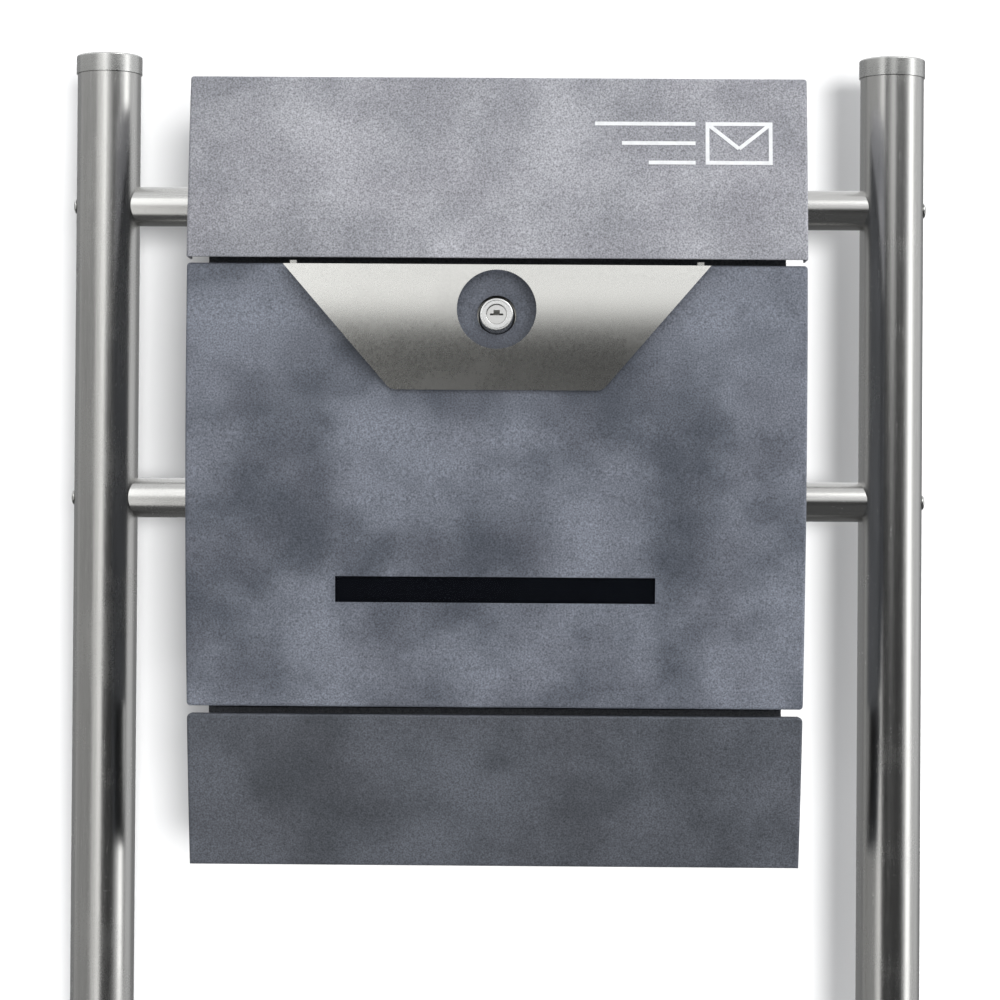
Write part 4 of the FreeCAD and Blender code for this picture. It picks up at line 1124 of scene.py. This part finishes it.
# ---- the door
@dataclass
class Door(Skin):
    """Drop-down door with the viewing slot and its pane."""

    corner: float = 2.2 * MM
    slot_width: float = 191 * MM
    slot_height: float = 15.5 * MM
    slot_rise: float = 63 * MM
    hole_r: float = 11.6 * MM
    hole_up: float = 0.5 * MM
    stud_r: float = 2 * MM
    inner_stud: float = 44 * MM
    notch: float = 1 * MM
    notch_in: float = 11 * MM
    paint: Finish = PowderCoat("door_paint", (0.06, 0.069, 0.088), (0.186, 0.202, 0.24), (0.113, 0.118, 0.143), 11.0)
    lining: Finish = PowderCoat("rail_paint", (0.06, 0.065, 0.075), (0.1, 0.105, 0.12), seed=50.0, contrast=0.6)
    zinc: Finish = BrushedSteel("hinge_zinc", (0.56, 0.56, 0.53), 0.34, smudge=0.12)

    def studs(self) -> list[tuple[float, float]]:
        """Find the trim plate's studs.

        Returns:
            Their (x, z).
        """
        low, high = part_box("trim_studs")
        return [(side * x, z) for x, z in ((high.x - self.stud_r, high.z - self.stud_r),
                                           (self.inner_stud, low.z + self.stud_r)) for side in (-1, 1)]

    def panel(self, lock: Vector) -> None:
        """Build the bowed panel.

        Args:
            lock: the lock's place.
        """
        low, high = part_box("door_skin")
        panel = self.pan(low, high, self.corner, low.z - 1).walls(self.wall)
        slot_low, half, middle, reach = low.z + self.slot_rise, self.slot_width / 2, PAST / 2, 1.5 * PAST
        panel.cut(Shape.block((-half, -PAST, slot_low), (half, 2 * PAST, slot_low + self.slot_height)))
        panel.drill((0, middle, lock.z + self.hole_up), 1, reach, self.hole_r, 96)
        for x, z in self.studs():
            panel.drill((x, middle, z), 1, reach, self.stud_r, 24)
        side_low, side_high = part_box("side_panel_right")
        for side in (-1, 1):
            x0, x1 = mirrored(side, side_low.x + self.notch_in - self.notch, side_high.x + self.notch)
            panel.cut(Shape.block((x0, 2 * self.wall, low.z - PAST), (x1, 2 * PAST, low.z + 2 * self.wall)))
        panel.slices(levels(low.z, high.z, self.strip)).lay_on(self.bow())
        Piece("door_panel", self.paint, "door", "door_paint", "door_skin", self.ease).place(panel)

    def build(self, lock: Vector) -> None:
        """Build the panel, and refine or dress what hangs on it.

        Args:
            lock: the lock's place.
        """
        self.panel(lock)
        # the pane's near-black, half see-through tint is painted shade of the compartment behind it
        dress("window_pane", ClearSheet("pane_acrylic"))
        for node, name, finish, slot, edge in (
            ("pane_rail_upper", "pane_rail_upper_strip", self.lining, "body_paint", 0.15 * MM),
            ("pane_rail_lower", "pane_rail_lower_strip", self.lining, "body_paint", 0.15 * MM),
            ("door_hinge_lugs", "hinge_lugs", self.zinc, "fastener_steel", 0.15 * MM),
            ("door_hinge_pins", "hinge_pins", self.zinc, "fastener_steel", 0.2 * MM),
        ):
            Piece(name, finish, "door", slot, node, edge).place(Shape.from_node(node))


# ---- the trim plate
@dataclass
class TrimPlate:
    """Satin steel plate round the lock."""

    top_width: float = 254.5 * MM
    bottom_width: float = 126 * MM
    height: float = 74.5 * MM
    drop: float = 0.7 * MM
    wall: float = 1.2 * MM
    radius: float = 180 * MM
    strip: float = 1.5 * MM
    lift_top: float = 4 * MM
    lift_bottom: float = 0.6 * MM
    corner: float = 3 * MM
    hole_r: float = 23.6 * MM
    hole_up: float = 3.6 * MM
    hook_inset: float = 6.25 * MM
    hook_width: float = 4 * MM
    hook_reach: float = 9 * MM
    hook_foot: float = 1 * MM
    ease: float = 0.36 * MM
    steel: Finish = BrushedSteel("trim_steel", (0.72, 0.712, 0.675), depth=0.002 * MM, fine=1700.0, smudge=0.05)
    fixing: Finish = BrushedSteel("fixing_steel", (0.62, 0.62, 0.6), 0.28)

    def build(self, front: Bow, lock: Vector) -> None:
        """Build the plate with its hooks, and dress its fixings.

        Args:
            front: the bow of the door.
            lock: the lock's place.
        """
        door_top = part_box("door_skin")[1].z
        top = door_top - self.drop
        bottom = top - self.height
        bow = Bow.through((front.y(bottom) - self.lift_bottom - self.wall, bottom),
                          (front.y(top) - self.lift_top - self.wall, top), self.radius)
        half_top, half_low = self.top_width / 2, self.bottom_width / 2
        corners = [(-half_top, 0, top), (half_top, 0, top), (half_low, 0, bottom), (-half_low, 0, bottom)]
        plate = Shape.outline(corners, (0, self.wall, 0))
        plate.bevel(lambda a, b: runs_along(1, 0.5 * MM)(a, b) and a.z < bottom + 10 * NEAR, self.corner, 6)
        plate.drill((0, 0, lock.z + self.hole_up), 1, PAST, self.hole_r, 128)
        plate.slices(levels(bottom, top, self.strip)).lay_on(bow)
        face, crest, centre = bow.y(top), door_top + self.wall, half_top - self.hook_inset
        for side in (-1, 1):
            x0, x1 = mirrored(side, centre - self.hook_width / 2, centre + self.hook_width / 2)
            plate.join(
                Shape.block((x0, face, top - self.hook_foot), (x1, face + self.wall, crest)),
                Shape.block((x0, face + 0.1 * MM, door_top + self.wall / 4), (x1, face + self.hook_reach, crest)),
            )
        Piece("trim_facing", self.steel, "door", "trim_steel", "trim_plate", self.ease, 3).place(plate)
        for node in ("trim_studs", "trim_spacers", "trim_nuts"):
            dress(node, self.fixing)


# ---- the lock
@dataclass
class Lock:
    """Cam lock on its bracket."""

    place: Vector
    axis: Vector
    head_r: float = 10.9 * MM
    face_r: float = 9.8 * MM
    plug_r: float = 6 * MM
    barrel_r: float = 9 * MM
    seat: float = -5 * MM
    shoulder: float = -1.6 * MM
    face: float = 4.5 * MM
    plug_face: float = 4.1 * MM
    barrel_end: float = -11.2 * MM
    gap: float = 0.08 * MM
    key_width: float = 7.8 * MM
    key_height: float = 1.1 * MM
    step_width: float = 3.7 * MM
    step_height: float = 2.1 * MM
    key_depth: float = 9 * MM
    cam_t: float = 2 * MM
    square: float = 7 * MM
    chrome: Finish = BrushedSteel("lock_chrome", (0.7, 0.7, 0.685), 0.26, depth=0.008 * MM, smudge=0.1)
    core: Finish = BrushedSteel("lock_core", (0.66, 0.655, 0.635), 0.3, depth=0.01 * MM, smudge=0.12)
    zinc: Finish = BrushedSteel("lock_zinc", (0.6, 0.59, 0.55), 0.32, smudge=0.12)

    def on_door(self, shape: Shape) -> Shape:
        """Move a shape from the lock's own axes (x right, y up the face, z out) to its place.

        Args:
            shape: the shape.

        Returns:
            The same shape, moved.
        """
        out, right = self.axis.normalized(), Vector((1, 0, 0))
        turn = Matrix((right, out.cross(right), out)).transposed().to_4x4()
        return shape.move(Matrix.Translation(self.place) @ turn)

    def body(self) -> None:
        """Build the housing with its tapered head, which has a groove turned into its face."""
        bore, groove, rim, face = self.plug_r + self.gap, 0.15 * MM, self.face_r, self.face
        profile = [
            (bore, face - groove), (bore + 0.5 * MM, face), (rim - 1.5 * MM, face), (rim - 1.3 * MM, face - groove),
            (rim - 1.1 * MM, face), (rim - 0.5 * MM, face), (rim - 0.15 * MM, face - 0.12 * MM),
            (rim + 0.1 * MM, face - 0.55 * MM), (self.head_r - 0.15 * MM, self.shoulder + 0.2 * MM),
            (self.head_r, self.shoulder - 0.2 * MM), (self.head_r, self.seat), (self.barrel_r, self.seat),
            (self.barrel_r, self.barrel_end), (bore, self.barrel_end),
        ]
        Piece("lock_housing", self.chrome, "door", "lock_chrome", "lock_body", smooth=28).place(
            self.on_door(Shape.turned(profile, 128)))

    def plug(self) -> None:
        """Build the plug with its keyway and the square for the cam."""
        rear, radius, face, ease = self.barrel_end - self.gap, self.plug_r, self.plug_face, 0.3 * MM
        profile = [(0, face), (radius - ease, face), (radius, face - ease), (radius, rear), (0, rear)]
        half, high = self.key_width / 2, self.key_height / 2
        step, top, depth = self.step_width / 2, high + self.step_height, face - self.key_depth
        keyway = [(-half, -high), (half, -high), (half, high), (step, high),
                  (step, top), (-step, top), (-step, high), (-half, high)]
        key = Shape.outline([(x, y, depth) for x, y in keyway], (0, 0, self.key_depth + PAST))
        side = self.square / 2
        plug = Shape.turned(profile, 96).cut(key)
        plug.join(Shape.block((-side, -side, rear - self.cam_t), (side, side, rear)))
        Piece("lock_core", self.core, "lock", "lock_chrome", "lock_plug", 0.12 * MM).place(self.on_door(plug))

    def build(self) -> None:
        """Build the lock's pieces."""
        self.body()
        self.plug()
        for node, body in (("lock_nut", "door"), ("lock_bracket", "door"), ("lock_cam", "lock"), ("cam_screw", "lock")):
            Piece(node + "_eased", self.zinc, body, "lock_zinc", node, 0.2 * MM).place(Shape.from_node(node))


# ---- the studio
@dataclass(frozen=True)
class SoftBox:
    """A rectangular lamp out of the camera's sight; its power is in watts."""

    name: str
    place: Point
    size: tuple[float, float]
    power: float
    aim: Point = (0.0, 0.0, 0.95)

    def hang(self) -> bpy.types.Object:
        """Hang the lamp, pointed at its aim.

        Returns:
            The lamp.
        """
        light = bpy.data.lights.new(self.name, "AREA")
        light.shape = "RECTANGLE"
        light.size, light.size_y = self.size
        light.energy = self.power
        lamp = put(self.name, light)
        lamp.location = self.place
        lamp.rotation_euler = (Vector(self.aim) - Vector(self.place)).to_track_quat("-Z", "Y").to_euler()
        lamp.visible_camera = False
        return lamp


@dataclass
class Studio:
    """Floor, wall, light and camera."""

    reach: float = 3.0
    floor_white: Colour = (0.93, 0.93, 0.93)
    wall_white: Colour = (0.66, 0.66, 0.66)
    wall_gap: float = 6 * MM
    wall_sun: float = 3.6
    wall_softness: float = 15.0
    wall_slant: float = 10.0
    key: SoftBox = SoftBox("key_box", place=(1.3, -1.6, 2.6), size=(1.6, 1.2), power=18)
    front: SoftBox = SoftBox("front_box", place=(0, -2.3, 1.5), size=(1.1, 0.5), power=0.8)
    right: SoftBox = SoftBox("right_box", place=(2.2, -0.75, 1.0), size=(0.7, 2.2), power=7)
    fill: SoftBox = SoftBox("paint_fill", place=(0.8, -0.95, 1.0), size=(0.6, 1.0), power=3.4)
    panel_z: float = 1.0
    panel_height: float = 2.0
    panel_corners: tuple[tuple[float, float], ...] = ((-0.28, -0.82), (-0.55, -0.88), (-1.0, -0.98), (-1.3, 0.5))
    panel_power: tuple[float, ...] = (2.3, 2.4, 2.6)
    eye_x: float = 20 * MM
    eye_back: float = 1906 * MM
    eye_up: float = 200 * MM
    pitch: float = 0.70
    yaw: float = 0.55
    roll: float = -0.39
    lens: float = 109.15
    sensor: float = 36.0

    def sheet(self, name: str, shape: Shape, colour: Colour) -> bpy.types.Object:
        """Place one matt sheet of the studio, clear from its own rear and out of sight of reflections.

        Args:
            name: its name.
            shape: its shape.
            colour: its colour.

        Returns:
            The sheet.
        """
        made = bpy.data.materials.new(name + "_white")
        made.use_nodes = True
        graph = Graph(made.node_tree)
        front = graph.add("BsdfDiffuse", {"Color": colour})
        clear = graph.add("BsdfTransparent", {})
        rear = graph.add("NewGeometry", {}).outputs["Backfacing"]
        both = graph.add("MixShader", {0: rear, 1: front.outputs[0], 2: clear.outputs[0]})
        graph.add("OutputMaterial", {"Surface": both.outputs[0]})
        sheet = put(name, shape.to_mesh(name))
        sheet.data.materials.append(made)
        sheet.visible_glossy = False
        sheet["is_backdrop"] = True
        return sheet

    def room(self) -> bpy.types.Object:
        """Lay a pale floor, and stand a wall behind the foot plates that only takes shadows, under its own light.

        Returns:
            The wall.
        """
        disc, grid = Shape(), Shape()
        bmesh.ops.create_circle(disc.mesh, cap_ends=True, segments=96, radius=self.reach)
        self.sheet("floor", disc, self.floor_white)
        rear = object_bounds()[1][1] + self.wall_gap
        bmesh.ops.create_grid(grid.mesh, x_segments=1, y_segments=1, size=self.reach)
        grid.move(Matrix.Translation((0, rear, self.reach)) @ Matrix.Rotation(QUARTER, 4, "X"))
        wall = self.sheet("wall", grid, self.wall_white)
        for kind in ("diffuse", "transmission", "volume_scatter", "shadow"):
            setattr(wall, "visible_" + kind, False)
        sun = put("wall_sun", bpy.data.lights.new("wall_sun", "SUN"))
        sun.data.energy = self.wall_sun
        sun.data.angle = math.radians(self.wall_softness)
        sun.rotation_euler = (QUARTER, 0, math.radians(self.wall_slant))
        only_wall = bpy.data.collections.new("only_wall")
        only_wall.objects.link(wall)
        sun.light_linking.receiver_collection = only_wall
        return wall

    def sky(self) -> None:
        """Light the room: bright above, dim at and below eye level, and a white ground behind."""
        world = bpy.data.worlds.new("studio")
        bpy.context.scene.world = world
        world.use_nodes = True
        graph = Graph(world.node_tree)
        towards = graph.add("TexCoord", {}).outputs["Generated"]
        parts = graph.add("SeparateXYZ", {"Vector": towards})
        right, back, up = (Value(graph, parts.outputs[axis]) for axis in "XYZ")
        facing = (right * right).between(0.035, 0.012)
        above = (up - 0.1 + facing * 0.165).between(0.0, 0.36)
        below = up.between(-0.05, -0.45)
        leftward = right.between(-0.55, -0.95) * 0.08
        rightward = right.between(0.64, 0.92) * (0.85 - back * 0.5)
        level = (1 - above) * (1 - below * 0.8)
        sides = (leftward + rightward + back.between(0.0, 0.7) * 0.28) * level
        lit = 0.02 + above * 1.06 + sides + below * 0.085
        room = graph.add("Background", {"Color": (0.97, 0.98, 1.0), "Strength": lit})
        white = graph.add("Background", {"Color": (1.0, 1.0, 1.0), "Strength": 1.0})
        seen = graph.add("LightPath", {}).outputs["Is Camera Ray"]
        both = graph.add("MixShader", {0: seen, 1: room.outputs[0], 2: white.outputs[0]})
        graph.add("OutputWorld", {"Surface": both.outputs[0]})

    def lights(self, wall: bpy.types.Object) -> None:
        """Hang the soft boxes, and stand a folded soft screen on the left that only shows in the steel.

        Args:
            wall: the wall, which the key light leaves out.
        """
        key = self.key.hang()
        all_but_wall = bpy.data.collections.new("all_but_wall")
        all_but_wall.objects.link(wall)
        all_but_wall.collection_objects[0].light_linking.link_state = "EXCLUDE"
        key.light_linking.receiver_collection = all_but_wall
        self.front.hang()
        self.right.hang()
        self.fill.hang().visible_glossy = False
        corners = [Vector((x, y, self.panel_z)) for x, y in self.panel_corners]
        for name, start, end, power in zip(("near", "middle", "side"), corners, corners[1:], self.panel_power):
            middle, along = (start + end) / 2, end - start
            aim = middle + Vector((along.y, -along.x, 0))
            panel = SoftBox("left_panel_" + name, middle, (along.length, self.panel_height), power, aim)
            panel.hang().visible_diffuse = False

    def camera(self) -> None:
        """Place the camera a little right of the middle, at the height of the lower half of the box."""
        data = bpy.data.cameras.new("camera")
        data.lens = self.lens
        data.sensor_width = self.sensor
        camera = put("camera", data)
        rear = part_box("back_panel")[1].y
        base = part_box("newspaper_tray")[0].z
        camera.location = (self.eye_x, rear - self.eye_back, base + self.eye_up)
        turns = ((self.yaw, "Z"), (self.pitch, "X"), (self.roll, "Y"), (90.0, "X"))
        turn = Matrix.Identity(4)
        for angle, axis in turns:
            turn = turn @ Matrix.Rotation(math.radians(angle), 4, axis)
        camera.rotation_euler = turn.to_euler()
        bpy.context.scene.camera = camera

    def build(self) -> None:
        """Set the studio up."""
        bpy.context.scene.view_settings.view_transform = "Standard"
        wall = self.room()
        self.sky()
        self.lights(wall)
        self.camera()


def main() -> None:
    """Build every sub-assembly around the frame."""
    logging.basicConfig(level=logging.INFO, format="%(name)s %(message)s")
    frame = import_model()
    turn = next(joint for joint in frame["joints"] if joint["name"] == "lock_turn")
    lock = Lock(place=Vector(turn["pos_m"]), axis=Vector(turn["axis"]))
    door = Door()
    Stand().build()
    Housing().build()
    Tray().build()
    Lid().build()
    door.build(lock.place)
    TrimPlate().build(door.bow(), lock.place)
    lock.build()
    Studio().build()


if __name__ == "__main__":
    main()
